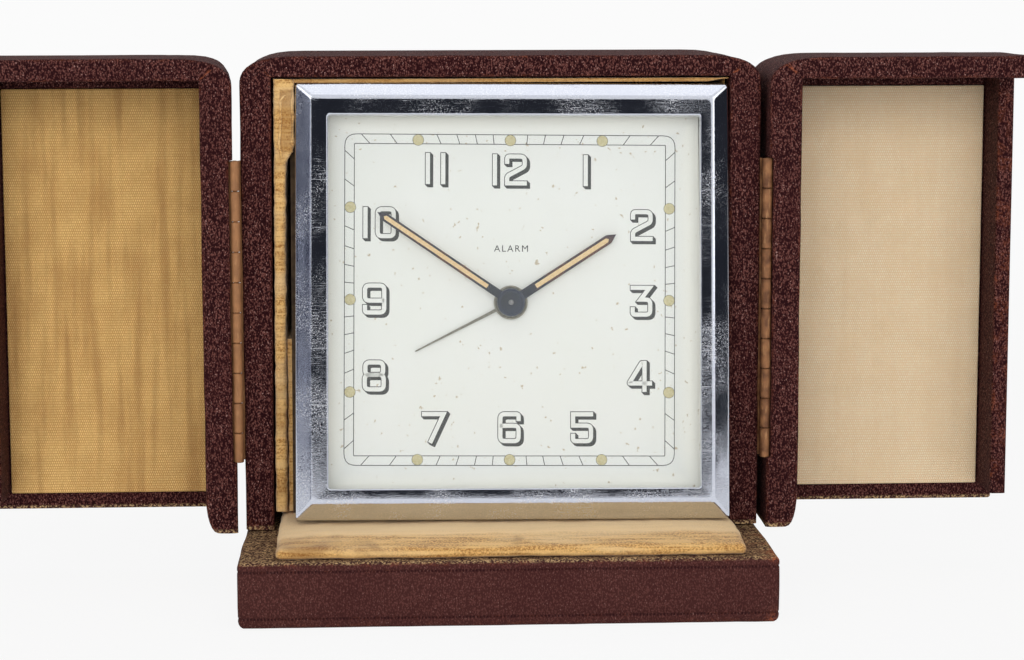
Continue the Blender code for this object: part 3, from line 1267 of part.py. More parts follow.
def make_rear(seat, places, paint):
    """The cover of the clock, and the controls that stand out of it."""
    half = HOUSING_SIZE / 2
    holes = [ring(WINDING_RADIUS + RUN, SMALL_SIDES, places[p])
             for p in ("barrel", "alarm_barrel")]
    holes += [ring(ARBOR_RADIUS + RUN, SMALL_SIDES, places["alarm_set"]),
              ring(CENTRE_RADIUS + RUN, SMALL_SIDES),
              ring(STOP_STEM_RADIUS + RUN, SMALL_SIDES, places["stop"])]
    balance = places["balance"]
    slot = []
    swing = REGULATOR_SWING + math.asin((REGULATOR_PIN_RADIUS + CLEAR) / REGULATOR_LENGTH)
    for reach, sign in ((REGULATOR_LENGTH + REGULATOR_PIN_RADIUS + CLEAR, 1),
                        (REGULATOR_LENGTH - REGULATOR_PIN_RADIUS - CLEAR, -1)):
        for i in range(CORNER_STEPS + 1):
            share = 2 * i / CORNER_STEPS - 1
            slot.append(shifted(balance, reach, REGULATOR_DIRECTION + sign * swing * share))
    holes.append(slot)
    add("rear_cover", prism_mesh([square(half)] + holes, REAR_COVER_DEPTH, BEHIND_COVER),
        seat, material=paint["tin"])
    back = BACK_PLATE_DEPTH + PLATE_THICK + CLEAR
    pivot = empty("regulator_pivot", (balance[0], 0.0, balance[1]),
                  (0.0, REGULATOR_DIRECTION, 0.0), seat)
    outline = hand_outline(REGULATOR_LENGTH + HAND_POINT, REGULATOR_WIDTH, REGULATOR_HUB)
    lever = add("regulator_lever", prism_mesh([outline, ring(ARBOR_RADIUS + CLEAR)], back,
                                              back + LEAF_THICK), pivot,
                material=paint["steel"])
    join(lever, rod_mesh(REGULATOR_PIN_RADIUS, back + LEAF_THICK / 2,
                         BEHIND_COVER + REAR_REACH, at=(0.0, REGULATOR_LENGTH)))
    place = places["stop"]
    head = BEHIND_COVER + STOP_TRAVEL + CLEAR
    button = add("alarm_stop_button", rod_mesh(STOP_RADIUS, head, head + STOP_RADIUS,
                                               ROUND_SIDES, at=place), seat,
                 material=paint["brass"], smooth=True)
    join(button, rod_mesh(STOP_STEM_RADIUS, head - STOP_STEM_LENGTH, head + STOP_RADIUS / 2,
                          at=place))


def main():
    clear_scene()
    paint = make_materials()
    make_case_shell(paint)
    make_plinth(paint)
    make_plinth_pad(paint)
    make_case_lining(paint)
    make_door("left_door", -1, paint)
    make_door("right_door", 1, paint)
    make_back_door(paint)
    seat = make_clock_seat()
    places = arbor_places()
    make_bezel(seat, paint)
    make_glass(seat, paint)
    make_housing(seat, paint)
    make_seat_frame(seat, paint)
    make_dial(seat, paint)
    make_hands(seat, paint)
    make_plates(seat, places, paint)
    make_going_train(seat, places, paint)
    make_barrel(seat, "time_barrel", places["barrel"], BARREL_TEETH, BARREL_MODULE,
                BARREL_RADIUS, direction(places["barrel"], places["centre"]), paint)
    make_barrel(seat, "alarm_barrel", places["alarm_barrel"], ALARM_BARREL_TEETH,
                STRIKE_MODULE, ALARM_BARREL_RADIUS,
                direction(places["alarm_barrel"], places["strike"]), paint)
    make_winder(seat, "time", places["barrel"], paint)
    make_winder(seat, "alarm", places["alarm_barrel"], paint)
    make_centre_group(seat, paint)
    make_motion_work(seat, places, paint)
    make_alarm_setting(seat, places, paint)
    make_escapement(seat, places, paint)
    make_alarm_train(seat, places, paint)
    make_rear(seat, places, paint)


main()
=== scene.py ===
# %% [markdown]
# # A travel alarm clock in its leather case
# The clock stands in a leather covered case whose two doors are open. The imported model
# gives every piece its place and its motion.

# %% Load the frame
import math

import bmesh
import bpy
from mathutils import Matrix, Vector, noise


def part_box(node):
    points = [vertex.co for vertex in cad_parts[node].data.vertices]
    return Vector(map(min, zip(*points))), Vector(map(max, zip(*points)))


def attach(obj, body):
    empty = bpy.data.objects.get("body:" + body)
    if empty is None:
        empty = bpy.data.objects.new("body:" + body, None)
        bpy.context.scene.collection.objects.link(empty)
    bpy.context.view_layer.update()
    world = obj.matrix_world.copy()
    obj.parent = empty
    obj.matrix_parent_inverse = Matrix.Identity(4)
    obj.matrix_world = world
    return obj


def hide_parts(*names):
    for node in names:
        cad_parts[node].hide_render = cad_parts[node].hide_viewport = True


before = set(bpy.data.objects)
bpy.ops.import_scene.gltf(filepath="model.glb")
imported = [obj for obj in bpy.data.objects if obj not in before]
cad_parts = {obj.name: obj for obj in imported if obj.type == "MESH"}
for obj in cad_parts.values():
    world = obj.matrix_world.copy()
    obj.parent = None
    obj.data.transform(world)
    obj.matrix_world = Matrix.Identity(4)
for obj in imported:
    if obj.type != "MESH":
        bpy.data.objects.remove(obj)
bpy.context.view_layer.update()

MM = 0.001

# %% [markdown]
# ## The camera
# The photograph was taken with a long lens from a little above the clock and a little to
# its left, so the upright edges stay nearly parallel. The lens is written as the distance
# in pixels that a camera model uses, and turned into millimetres for Blender.

# %% Camera
IMAGE_WIDTH = 1024
LENS_PIXELS = 2603.0
SENSOR = 36.0
CAMERA_PLACE = Vector((-19.6, -441.7, 103.2)) * MM
PITCH_DOWN = math.radians(7.64)
YAW_RIGHT = math.radians(2.80)
ROLL = math.radians(-0.12)

camera_data = bpy.data.cameras.new("camera")
camera_data.sensor_width = SENSOR
camera_data.lens = LENS_PIXELS * SENSOR / IMAGE_WIDTH
camera_data.clip_start = 0.01
camera = bpy.data.objects.new("camera", camera_data)
bpy.context.scene.collection.objects.link(camera)
camera.matrix_world = (Matrix.Translation(CAMERA_PLACE)
                       @ Matrix.Rotation(-YAW_RIGHT, 4, "Z")
                       @ Matrix.Rotation(math.radians(90.0) - PITCH_DOWN, 4, "X")
                       @ Matrix.Rotation(ROLL, 4, "Z"))
bpy.context.scene.camera = camera
print("lens", round(camera_data.lens, 1), "mm")

# %% [markdown]
# ## Building materials from nodes
# Every finish here is a Principled shader with a pattern built from noise. A few small
# helpers keep the node trees readable: one adds a node and fills its sockets, others mix
# two colours or stretch a value from one range to another, and the last feeds the shader.

# %% Helpers for node trees
def put(tree, kind, sockets=None, **settings):
    """Add a node, set its properties, and fill its sockets with values or links."""
    made = tree.nodes.new(kind)
    for name, value in settings.items():
        setattr(made, name, value)
    for socket, value in (sockets or {}).items():
        if isinstance(value, bpy.types.NodeSocket):
            tree.links.new(value, made.inputs[socket])
        else:
            made.inputs[socket].default_value = value
    return made


def tint(red, green, blue):
    """A colour given in the 0 to 255 steps of a picture, as the shader wants it."""
    steps = (red / 255, green / 255, blue / 255)
    return tuple(s / 12.92 if s <= 0.04045 else ((s + 0.055) / 1.055) ** 2.4
                 for s in steps) + (1.0,)


def mix(tree, share, first, second):
    return put(tree, "ShaderNodeMix", {0: share, 6: first, 7: second},
               data_type="RGBA").outputs[2]


def remap(tree, value, low, high, to_low=0.0, to_high=1.0):
    return put(tree, "ShaderNodeMapRange", {0: value, 1: low, 2: high, 3: to_low,
                                           4: to_high}).outputs[0]


def combine(tree, operation, first, second):
    return put(tree, "ShaderNodeMath", {0: first, 1: second},
               operation=operation).outputs[0]


def new_finish(name, roughness=0.5, metallic=0.0, specular=0.5):
    """A material, its tree, its shader, and the Object coordinates that patterns read."""
    material = bpy.data.materials.new(name)
    material.use_nodes = True
    tree = material.node_tree
    shader = tree.nodes["Principled BSDF"]
    shader.inputs["Roughness"].default_value = roughness
    shader.inputs["Metallic"].default_value = metallic
    shader.inputs["Specular IOR Level"].default_value = specular
    place = put(tree, "ShaderNodeTexCoord").outputs["Object"]
    return material, tree, shader, place


def stretched(tree, place, scale, turn=(0.0, 0.0, 0.0)):
    """Coordinates for a pattern: turned, then scaled apart along each axis."""
    return put(tree, "ShaderNodeMapping", {"Vector": place, "Rotation": turn,
                                           "Scale": scale}).outputs[0]


def cloud(tree, place, per_metre, detail=2.0, distortion=0.0):
    return put(tree, "ShaderNodeTexNoise", {"Vector": place, "Scale": per_metre,
                                            "Detail": detail,
                                            "Distortion": distortion}).outputs[0]


def times(tree, first, second):
    return combine(tree, "MULTIPLY", first, second)


def coat(tree, colour, pattern, low, high, share, over):
    """Lay a colour over another where a pattern rises from low to high."""
    return mix(tree, remap(tree, pattern, low, high, 0.0, share), colour, over)


def wire(tree, shader, colour, height, depth, strength, roughness=None):
    """Give the shader its colour, a bump of a real depth, and a roughness that varies."""
    bump = put(tree, "ShaderNodeBump", {"Height": height, "Distance": depth,
                                        "Strength": strength})
    tree.links.new(bump.outputs[0], shader.inputs["Normal"])
    tree.links.new(colour, shader.inputs["Base Color"])
    if roughness is not None:
        tree.links.new(roughness, shader.inputs["Roughness"])


def worn_share(tree):
    """The wear that a piece carries at each point."""
    return put(tree, "ShaderNodeAttribute", attribute_name="wear").outputs["Fac"]


print("node helpers ready")

# %% [markdown]
# ## Leather
# The case is covered with maroon leather that has a fine grain. Each pebble is lighter
# on top and darker between, pale glints on the tops are painted highlights, and the
# corners have worn to a rusty red. A Voronoi texture gives the pebbles and noise drawn out
# upwards gives the streaks between them.
# Each piece carries a "wear" attribute, high along its edges, that noise breaks up. The
# plinth adds two rows of tooled dots at set heights. Dust lies on the plinth's top and
# at the foot of the walls that stand on it.

# %% Leather material
GRAIN_PER_METRE = 4000.0
GRAIN_DEPTH = 0.07 * MM
DOT_PITCH = 0.55 * MM
DOT_BAND = 0.30 * MM
DUST_FADE = 0.35 * MM       # height over which the dust sets in
WALL_FOOT = 11.9 * MM       # dust lies on the walls below this


def leather_grain(tree, place):
    """Pebbles, 1 in the middle and 0 between them, with upright streaks over them."""
    bend = put(tree, "ShaderNodeVectorMath", {
        0: put(tree, "ShaderNodeTexNoise", {"Vector": place, "Scale": 2000.0}).outputs[1],
        1: (0.0004, 0.0004, 0.0004)}, operation="MULTIPLY").outputs[0]
    bent = put(tree, "ShaderNodeVectorMath", {0: place, 1: bend}, operation="ADD").outputs[0]
    cells = put(tree, "ShaderNodeTexVoronoi", {
        "Vector": stretched(tree, bent, (1.0, 1.0, 0.62)),
        "Scale": GRAIN_PER_METRE}).outputs["Distance"]
    streaks = cloud(tree, stretched(tree, place, (3800.0, 3800.0, 1300.0)), 1.0, 3.0)
    pebbles = remap(tree, cells, 0.15, 0.70, 1.0, 0.0)
    return combine(tree, "ADD", times(tree, pebbles, 0.55),
                   times(tree, remap(tree, streaks, 0.30, 0.72), 0.45))


def tooled_dots(tree, place, heights):
    """Dark dots in rows at the given heights, and the height above the table."""
    axes = put(tree, "ShaderNodeSeparateXYZ", {0: place}).outputs
    along = combine(tree, "ADD", axes[0], axes[1])
    wave = combine(tree, "SINE", times(tree, along, 2 * math.pi / DOT_PITCH), 0.0)
    rows = 0.0
    for height in heights:
        off = combine(tree, "ABSOLUTE", combine(tree, "SUBTRACT", axes[2], height), 0.0)
        rows = combine(tree, "MAXIMUM", rows, remap(tree, off, DOT_BAND, DOT_BAND * 0.4))
    return times(tree, rows, remap(tree, wave, -0.3, 0.5, 0.25, 1.0)), axes[2]


def make_leather(name, dust_line, way, dot_heights=(), contrast=1.0):
    """Leather with dust above a height, way 1, or below it, way -1."""
    material, tree, shader, place = new_finish(name, 0.8, 0.0, 0.08)
    grain = leather_grain(tree, place)
    fine = cloud(tree, place, 7000.0, 2.0)
    half = 0.5 * contrast
    colour = mix(tree, remap(tree, grain, 0.32, 0.76, 0.5 - half, 0.5 + half),
                 tint(36, 10, 13), tint(112, 68, 62))
    colour = coat(tree, colour, cloud(tree, place, 90.0, 4.0), 0.40, 0.75, 0.30,
                  tint(54, 20, 22))
    # Painted highlights: pale pink glints on the tops of the pebbles stand in for light
    # catching them.
    painted_glints = times(tree, remap(tree, cloud(tree, place, 4600.0, 1.0), 0.62, 0.72),
                   remap(tree, grain, 0.45, 0.60))
    colour = mix(tree, times(tree, painted_glints, 0.8 * contrast), colour, tint(186, 150, 142))
    height = combine(tree, "ADD", grain, times(tree, fine, 0.25))
    dots, rise = tooled_dots(tree, place, dot_heights)
    if dot_heights:
        colour = mix(tree, times(tree, dots, 0.7), colour, tint(34, 10, 16))
        height = combine(tree, "SUBTRACT", height, dots)
    specks = remap(tree, cloud(tree, place, 3000.0, 3.0), 0.47, 0.60)
    dust = mix(tree, specks, tint(58, 36, 34), tint(206, 172, 126))
    dusty = remap(tree, rise, dust_line, dust_line + way * DUST_FADE, 0.0, 0.95)
    uneven = remap(tree, cloud(tree, place, 500.0, 3.0), 0.30, 0.60, 0.45, 1.0)
    colour = mix(tree, times(tree, dusty, uneven), colour, dust)
    patches = times(tree, remap(tree, cloud(tree, place, 420.0, 3.0), 0.46, 0.60, 0.0, 0.85),
                    remap(tree, cloud(tree, place, 2400.0, 3.0), 0.42, 0.58))
    colour = mix(tree, times(tree, worn_share(tree), patches), colour, tint(168, 92, 62))
    wire(tree, shader, colour, height, GRAIN_DEPTH, 0.9,
         remap(tree, fine, 0.3, 0.7, 0.70, 0.86))
    return material


LEATHER = make_leather("maroon_leather", WALL_FOOT, -1)
print("leather", len(LEATHER.node_tree.nodes), "nodes")

# %% [markdown]
# ## Velvet and cloth
# The pad and the lining beside the clock are a short tan velvet, rubbed bare in places
# and stained brown at its edges, and the top of the pad is paler than its front. The doors
# are lined with a plain woven cloth: bricks less than half a millimetre across make its
# threads, and slow vertical noise its stains. Both door cloths are painted lighter than the
# cloth is, as painted light that fills the shade of the deep trays, and the right one is
# painted paler still, as painted light; the left one carries more of the real stains.

# %% Velvet and cloth materials
PALE_TOP_BELOW = 14.0 * MM
PALE_TOP_FROM = -25.6 * MM
PALE_TOP_FULLY = -23.6 * MM


def make_velvet():
    material, tree, shader, place = new_finish("tan_velvet", 0.95, 0.0, 0.15)
    nap = cloud(tree, place, 3200.0, 4.0)
    rows = cloud(tree, stretched(tree, place, (90.0, 900.0, 2400.0)), 1.0, 4.0)
    rubbed = cloud(tree, stretched(tree, place, (40.0, 200.0, 260.0)), 1.0, 3.0)
    stains = cloud(tree, place, 110.0, 5.0, 0.6)
    colour = mix(tree, remap(tree, nap, 0.35, 0.65), tint(158, 104, 46), tint(236, 188, 114))
    colour = coat(tree, colour, rows, 0.44, 0.60, 0.75, tint(242, 200, 132))
    colour = coat(tree, colour, rubbed, 0.52, 0.72, 0.7, tint(230, 198, 150))
    colour = coat(tree, colour, stains, 0.54, 0.76, 0.7, tint(132, 84, 36))
    colour = mix(tree, times(tree, worn_share(tree), 0.6), colour, tint(134, 88, 36))
    axes = put(tree, "ShaderNodeSeparateXYZ", {0: place}).outputs
    # The top of the pad, behind its rounded front, is coloured paler than the front.
    low = remap(tree, axes[2], PALE_TOP_BELOW + 0.1 * MM, PALE_TOP_BELOW, 0.0, 0.8)
    paler_top = times(tree, low, remap(tree, axes[1], PALE_TOP_FROM, PALE_TOP_FULLY))
    colour = mix(tree, paler_top, colour, tint(250, 214, 156))
    shader.inputs["Sheen Weight"].default_value = 0.25
    shader.inputs["Sheen Roughness"].default_value = 0.6
    wire(tree, shader, colour, nap, 0.16 * MM, 0.9)
    return material


THREAD_WIDTH = 0.36 * MM
THREAD_HEIGHT = 0.46 * MM


def make_cloth(name, light, dark, stain, stain_share):
    material, tree, shader, place = new_finish(name, 0.9, 0.0, 0.2)
    axes = put(tree, "ShaderNodeSeparateXYZ", {0: place})
    wobble = times(tree, cloud(tree, place, 900.0, 2.0), 0.3 * MM)
    flat = put(tree, "ShaderNodeCombineXYZ", {
        0: combine(tree, "ADD", axes.outputs[0], wobble), 1: axes.outputs[2]}).outputs[0]
    weave = put(tree, "ShaderNodeTexBrick", {
        "Vector": flat, "Color1": (1.0, 1.0, 1.0, 1.0), "Color2": (0.72, 0.72, 0.72, 1.0),
        "Mortar": (0.0, 0.0, 0.0, 1.0), "Scale": 1.0, "Mortar Size": 0.11 * MM,
        "Mortar Smooth": 1.0, "Brick Width": THREAD_WIDTH, "Row Height": THREAD_HEIGHT},
                offset=0.5, offset_frequency=2)
    threads = weave.outputs["Color"]
    colour = mix(tree, threads, dark, light)
    streaks = cloud(tree, stretched(tree, place, (420.0, 1.0, 34.0)), 1.0, 5.0)
    colour = coat(tree, colour, streaks, 0.46, 0.78, stain_share, stain)
    colour = coat(tree, colour, cloud(tree, place, 160.0, 4.0), 0.4, 0.8, 0.3, stain)
    shader.inputs["Sheen Weight"].default_value = 0.1
    wire(tree, shader, colour, put(tree, "ShaderNodeRGBToBW", {0: threads}).outputs[0],
         0.10 * MM, 0.9)
    return material


VELVET = make_velvet()
# Painted light: both cloths are painted lighter than the cloth is, to fill the shade of the
# deep door trays, and the right one paler than the left. The left one carries more real
# stains.
LEFT_CLOTH_STAINED_PAINTED_LIGHT = make_cloth("cloth_left_stained_painted_light", tint(253, 214, 142), tint(206, 152, 84),
                        tint(158, 104, 54), 0.65)
RIGHT_CLOTH_PAINTED_LIGHT = make_cloth("cloth_right_painted_light", tint(254, 238, 208), tint(242, 204, 156),
                         tint(234, 198, 152), 0.30)
print("threads to the centimetre", round(10 * MM / THREAD_WIDTH))

# %% [markdown]
# ## Metals
# The bezel is chrome plate with years of fine scratches, the hinges are brass gone
# brown, the hands are blued steel that has begun to rust, and the movement is brushed
# brass and steel. Scratches are noise drawn out some thirty times along one way, and they
# roughen the surface more than they colour it.

# %% Metal materials
def scratches(tree, place, turn, long_way, across, low, high):
    """Thin marks along one direction: 1 on a scratch and 0 between."""
    lines = cloud(tree, stretched(tree, place, (long_way, across, across), turn), 1.0, 3.0)
    return remap(tree, lines, low, high)


def make_chrome():
    material, tree, shader, place = new_finish("scratched_chrome", 0.07, 1.0)
    marks = 0.0
    for degrees, long_way, across, low, high in (
            (52.0, 260.0, 9000.0, 0.60, 0.72), (-38.0, 320.0, 11000.0, 0.62, 0.74),
            (84.0, 300.0, 7000.0, 0.60, 0.75)):
        turn = (0.0, math.radians(degrees), 0.0)
        lines = scratches(tree, place, turn, long_way, across, low, high)
        marks = combine(tree, "MAXIMUM", marks, lines)
    specks = remap(tree, cloud(tree, place, 5000.0, 3.0), 0.48, 0.66, 0.0, 0.9)
    rubbed = remap(tree, cloud(tree, place, 120.0, 4.0), 0.38, 0.62)
    marks = times(tree, combine(tree, "MAXIMUM", marks, specks),
                  remap(tree, rubbed, 0.0, 1.0, 0.25, 1.0))
    colour = mix(tree, marks, tint(204, 208, 220), tint(232, 234, 240))
    haze = remap(tree, cloud(tree, place, 700.0, 4.0), 0.35, 0.75, 0.04, 0.11)
    wire(tree, shader, colour, marks, 0.01 * MM, 0.5,
         combine(tree, "MAXIMUM", haze, times(tree, marks, 0.40)))
    return material


def make_aged_brass():
    material, tree, shader, place = new_finish("aged_brass", 0.6, 0.35)
    patches = cloud(tree, place, 650.0, 5.0)
    rubs = cloud(tree, stretched(tree, place, (2200.0, 2200.0, 500.0)), 1.0, 3.0)
    colour = mix(tree, remap(tree, patches, 0.35, 0.68), tint(104, 66, 42), tint(160, 112, 74))
    colour = coat(tree, colour, rubs, 0.58, 0.75, 0.6, tint(200, 152, 106))
    # Painted light: the brass is painted lighter towards the left, so the left hinge looks lit
    # and the right one does not.
    side = put(tree, "ShaderNodeSeparateXYZ", {0: place}).outputs[0]
    colour = coat(tree, colour, side, 0.0, -40.0 * MM, 0.45, tint(186, 134, 90))
    wire(tree, shader, colour, patches, 0.03 * MM, 0.7,
         remap(tree, patches, 0.3, 0.7, 0.50, 0.70))
    return material


def make_brushed(name, light, dark, roughness, turn):
    """Rolled or turned metal: fine lines one way, and a slow tarnish."""
    material, tree, shader, place = new_finish(name, roughness, 1.0)
    lines = cloud(tree, stretched(tree, place, (90.0, 2600.0, 2600.0), turn), 1.0, 3.0)
    tarnish = cloud(tree, place, 140.0, 4.0)
    colour = mix(tree, remap(tree, tarnish, 0.35, 0.75), light, dark)
    wire(tree, shader, colour, lines, 0.01 * MM, 0.6,
         remap(tree, lines, 0.3, 0.7, roughness * 0.8, roughness * 1.35))
    return material


CHROME = make_chrome()
AGED_BRASS = make_aged_brass()
BRASS = make_brushed("brushed_brass", tint(206, 168, 96), tint(168, 124, 60), 0.30,
                     (0.0, 0.0, 0.0))
STEEL = make_brushed("brushed_steel", tint(176, 176, 180), tint(128, 126, 126), 0.30,
                     (0.0, math.radians(90.0), 0.0))
TIN = make_brushed("tinned_sheet", tint(178, 176, 168), tint(132, 128, 116), 0.42,
                   (0.0, math.radians(20.0), 0.0))
print("metals ready")

# %% [markdown]
# ## The plane of the clock
# The clock leans back eight degrees, so its pieces are drawn flat, as seen from the
# front: x to the right, y up the dial and z towards the viewer, with zero at the hands.
# One matrix then puts them into the case. Its centre comes from the box of the glass.

# %% Plane of the dial
LEAN = math.radians(8.0)
GLASS_MIDDLE = 2.0 * MM     # from the front of the bezel to the middle of the glass

glass_low, glass_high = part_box("glass")
FACE_TURN = Matrix.Rotation(math.radians(90.0) - LEAN, 4, "X")
toward_viewer = FACE_TURN.to_3x3() @ Vector((0.0, 0.0, 1.0))
FACE_CENTRE = (glass_low + glass_high) / 2 + toward_viewer * GLASS_MIDDLE
FACE = Matrix.Translation(FACE_CENTRE) @ FACE_TURN
print("centre of the dial in mm", [round(c / MM, 2) for c in FACE_CENTRE])


def face_place(tree, place):
    """Object coordinates turned into the plane of the dial, in metres."""
    moved = put(tree, "ShaderNodeVectorMath", {0: place, 1: tuple(FACE_CENTRE)},
                operation="SUBTRACT").outputs[0]
    return put(tree, "ShaderNodeVectorRotate", {
        "Vector": moved, "Angle": -(math.radians(90.0) - LEAN)},
               rotation_type="X_AXIS").outputs[0]


# %% [markdown]
# ## Dial, ink, luminous paint and hands
# The dial is a sheet painted off-white and freckled with age. Outside the minute track
# it is creamier, and also painted lighter, as painted light that fills the shade the bezel
# casts on it. Its print is black ink. The dots and the hands carry an old luminous paint
# that has turned to cream. The steel of the hands is blue near the hub and the point, and
# rusty between, so that finish follows the distance from the hub.

# %% Dial materials
TRACK_HALF = 27.8 * MM


def make_dial_paint():
    material, tree, shader, place = new_finish("dial_paint", 0.55, 0.0, 0.3)
    flat = put(tree, "ShaderNodeSeparateXYZ", {0: face_place(tree, place)}).outputs
    reach = combine(tree, "MAXIMUM", combine(tree, "ABSOLUTE", flat[0], 0.0),
                    combine(tree, "ABSOLUTE", flat[1], 0.0))
    # Outside the track the paint is creamier, and also lighter as painted light that fills the
    # bezel's shade on the margin.
    margin_cream_and_painted_light = remap(tree, reach, TRACK_HALF, TRACK_HALF + 2.5 * MM, 0.0, 0.95)
    colour = coat(tree, tint(238, 240, 236), cloud(tree, place, 60.0, 4.0), 0.35, 0.75, 0.5,
                  tint(232, 235, 226))
    colour = mix(tree, margin_cream_and_painted_light, colour, tint(253, 253, 243))
    colour = coat(tree, colour, cloud(tree, place, 1100.0, 2.0), 0.69, 0.73, 0.7,
                  tint(178, 156, 112))
    wire(tree, shader, colour, cloud(tree, place, 2600.0, 2.0), 0.004 * MM, 0.4)
    return material


def make_speckled(name, light, dark, roughness, per_metre, depth):
    """A painted or printed surface with fine specks."""
    material, tree, shader, place = new_finish(name, roughness, 0.0, 0.3)
    specks = cloud(tree, place, per_metre, 3.0)
    colour = mix(tree, remap(tree, specks, 0.35, 0.70), light, dark)
    wire(tree, shader, colour, specks, depth, 0.6)
    return material


def make_hand_steel():
    material, tree, shader, place = new_finish("blued_rusted_steel", 0.32, 0.9)
    reach = put(tree, "ShaderNodeVectorMath", {0: place, 1: tuple(FACE_CENTRE)},
                operation="DISTANCE").outputs["Value"]
    past_hub = remap(tree, reach, 5.5 * MM, 8.0 * MM)
    before_point = remap(tree, reach, 17.5 * MM, 24.5 * MM, 1.0, 0.25)
    patches = remap(tree, cloud(tree, place, 480.0, 5.0), 0.38, 0.60)
    rust = times(tree, times(tree, past_hub, before_point), patches)
    colour = mix(tree, rust, tint(22, 34, 66), tint(104, 58, 42))
    wire(tree, shader, colour, patches, 0.01 * MM, 0.5,
         remap(tree, rust, 0.0, 1.0, 0.28, 0.62))
    return material


DIAL_PAINT = make_dial_paint()
INK = make_speckled("dial_ink", tint(30, 30, 33), tint(20, 20, 23), 0.6, 3000.0, 0.002 * MM)
NUMERAL_FACE = make_speckled("numeral_face", tint(240, 242, 238), tint(234, 236, 230), 0.6,
                             1500.0, 0.002 * MM)
LUMINOUS = make_speckled("luminous_cream", tint(214, 206, 164), tint(190, 178, 128), 0.8,
                         3500.0, 0.02 * MM)
HAND_FILL = make_speckled("hand_fill", tint(236, 208, 160), tint(220, 186, 132), 0.8,
                          2500.0, 0.02 * MM)
HAND_STEEL = make_hand_steel()
GREY_STEEL = make_speckled("grey_steel", tint(152, 148, 134), tint(112, 106, 94), 0.35,
                           2500.0, 0.01 * MM)
GREY_STEEL.node_tree.nodes["Principled BSDF"].inputs["Metallic"].default_value = 0.7
BOARD = make_speckled("dark_board", tint(74, 58, 42), tint(44, 34, 26), 0.9, 900.0,
                      0.05 * MM)


def make_glass():
    material, tree, shader, place = new_finish("clear_glass", 0.03)
    smears = cloud(tree, place, 90.0, 3.0)
    tree.links.new(remap(tree, smears, 0.4, 0.8, 0.02, 0.08), shader.inputs["Roughness"])
    shader.inputs["Base Color"].default_value = tint(236, 242, 238)
    shader.inputs["Alpha"].default_value = 0.06
    return material


GLASS = make_glass()
print("dial finishes ready")

# %% [markdown]
# ## Shapes for covered board
# Leather over board has no sharp edge: it rounds over at every rim and swells a little
# between. So each wall is a loft: oblong sections with rounded corners, one at each
# station along the wall, joined into one closed skin. The same helper makes straight
# walls, walls that turn a corner, and whole frames.

# %% Helpers for meshes
COLLECTION = bpy.context.scene.collection
CORNER_PARTS = 4
FACE_PARTS = 4
SIDE_PARTS = 8


def clamp(value):
    return min(1.0, max(0.0, value))


def turns(parts, start=0.0, sweep=90.0):
    """Angles from a start over a sweep in degrees, both ends included."""
    return [math.radians(start + sweep * part / parts) for part in range(parts + 1)]


def spun(profile, sides):
    """A ring of points for each step round the upright axis, from radius and height."""
    return [[Vector((r * math.cos(a), r * math.sin(a), h)) for r, h in profile]
            for a in turns(sides, 0.0, 360.0)[:-1]]


def ring_at(radius, height, sides, x=0.0, y=0.0):
    return [Vector((x + radius * math.cos(angle), y + radius * math.sin(angle), height))
            for angle in turns(sides, 0.0, 360.0)[:-1]]


def mesh_of(bm, name):
    """Keep what a bmesh holds as a new mesh."""
    mesh = bpy.data.meshes.new(name)
    bm.to_mesh(mesh)
    bm.free()
    return mesh


def cleaned(mesh, distance):
    """Merge the points that lie together, and turn every face outward."""
    bm = bmesh.new()
    bm.from_mesh(mesh)
    bmesh.ops.remove_doubles(bm, verts=bm.verts, dist=distance)
    bmesh.ops.recalc_face_normals(bm, faces=bm.faces)
    bm.to_mesh(mesh)
    bm.free()
    return mesh


def mesh_from(source):
    """Turn an object with its modifiers or curves into a plain mesh, and drop it."""
    bpy.context.view_layer.update()
    ready = source.evaluated_get(bpy.context.evaluated_depsgraph_get())
    mesh = bpy.data.meshes.new_from_object(ready)
    bpy.data.objects.remove(source)
    return mesh


def new_piece(name, mesh, material, smooth_angle=40.0):
    piece = bpy.data.objects.new(name, mesh)
    COLLECTION.objects.link(piece)
    mesh.materials.clear()
    mesh.materials.append(material)
    mesh.shade_smooth()
    mesh.set_sharp_from_angle(angle=math.radians(smooth_angle))
    return piece


def settle(piece, body, slot, *stands_for):
    """Fasten a finished piece to its body and hide what it replaces. The slot is not used."""
    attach(piece, body)
    if stands_for:
        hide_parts(*stands_for)


def skin(name, rings, wear, material, closed=False, smooth_angle=40.0):
    """Join rings of points into one closed skin, with a wear value at each point or none."""
    count = len(rings[0])
    faces = []
    for i in range(len(rings) if closed else len(rings) - 1):
        a, b = i * count, (i + 1) % len(rings) * count
        for j in range(count):
            k = (j + 1) % count
            faces.append((a + j, a + k, b + k, b + j))
    if not closed:
        last = (len(rings) - 1) * count
        faces.append(tuple(range(count - 1, -1, -1)))
        faces.append(tuple(range(last, last + count)))
    mesh = bpy.data.meshes.new(name)
    mesh.from_pydata([tuple(p) for ring in rings for p in ring], [], faces)
    attribute = mesh.attributes.new("wear", "FLOAT", "POINT")
    if wear:
        attribute.data.foreach_set("value", [w for ring in wear for w in ring])
    return new_piece(name, cleaned(mesh, 0.002 * MM), material, smooth_angle)


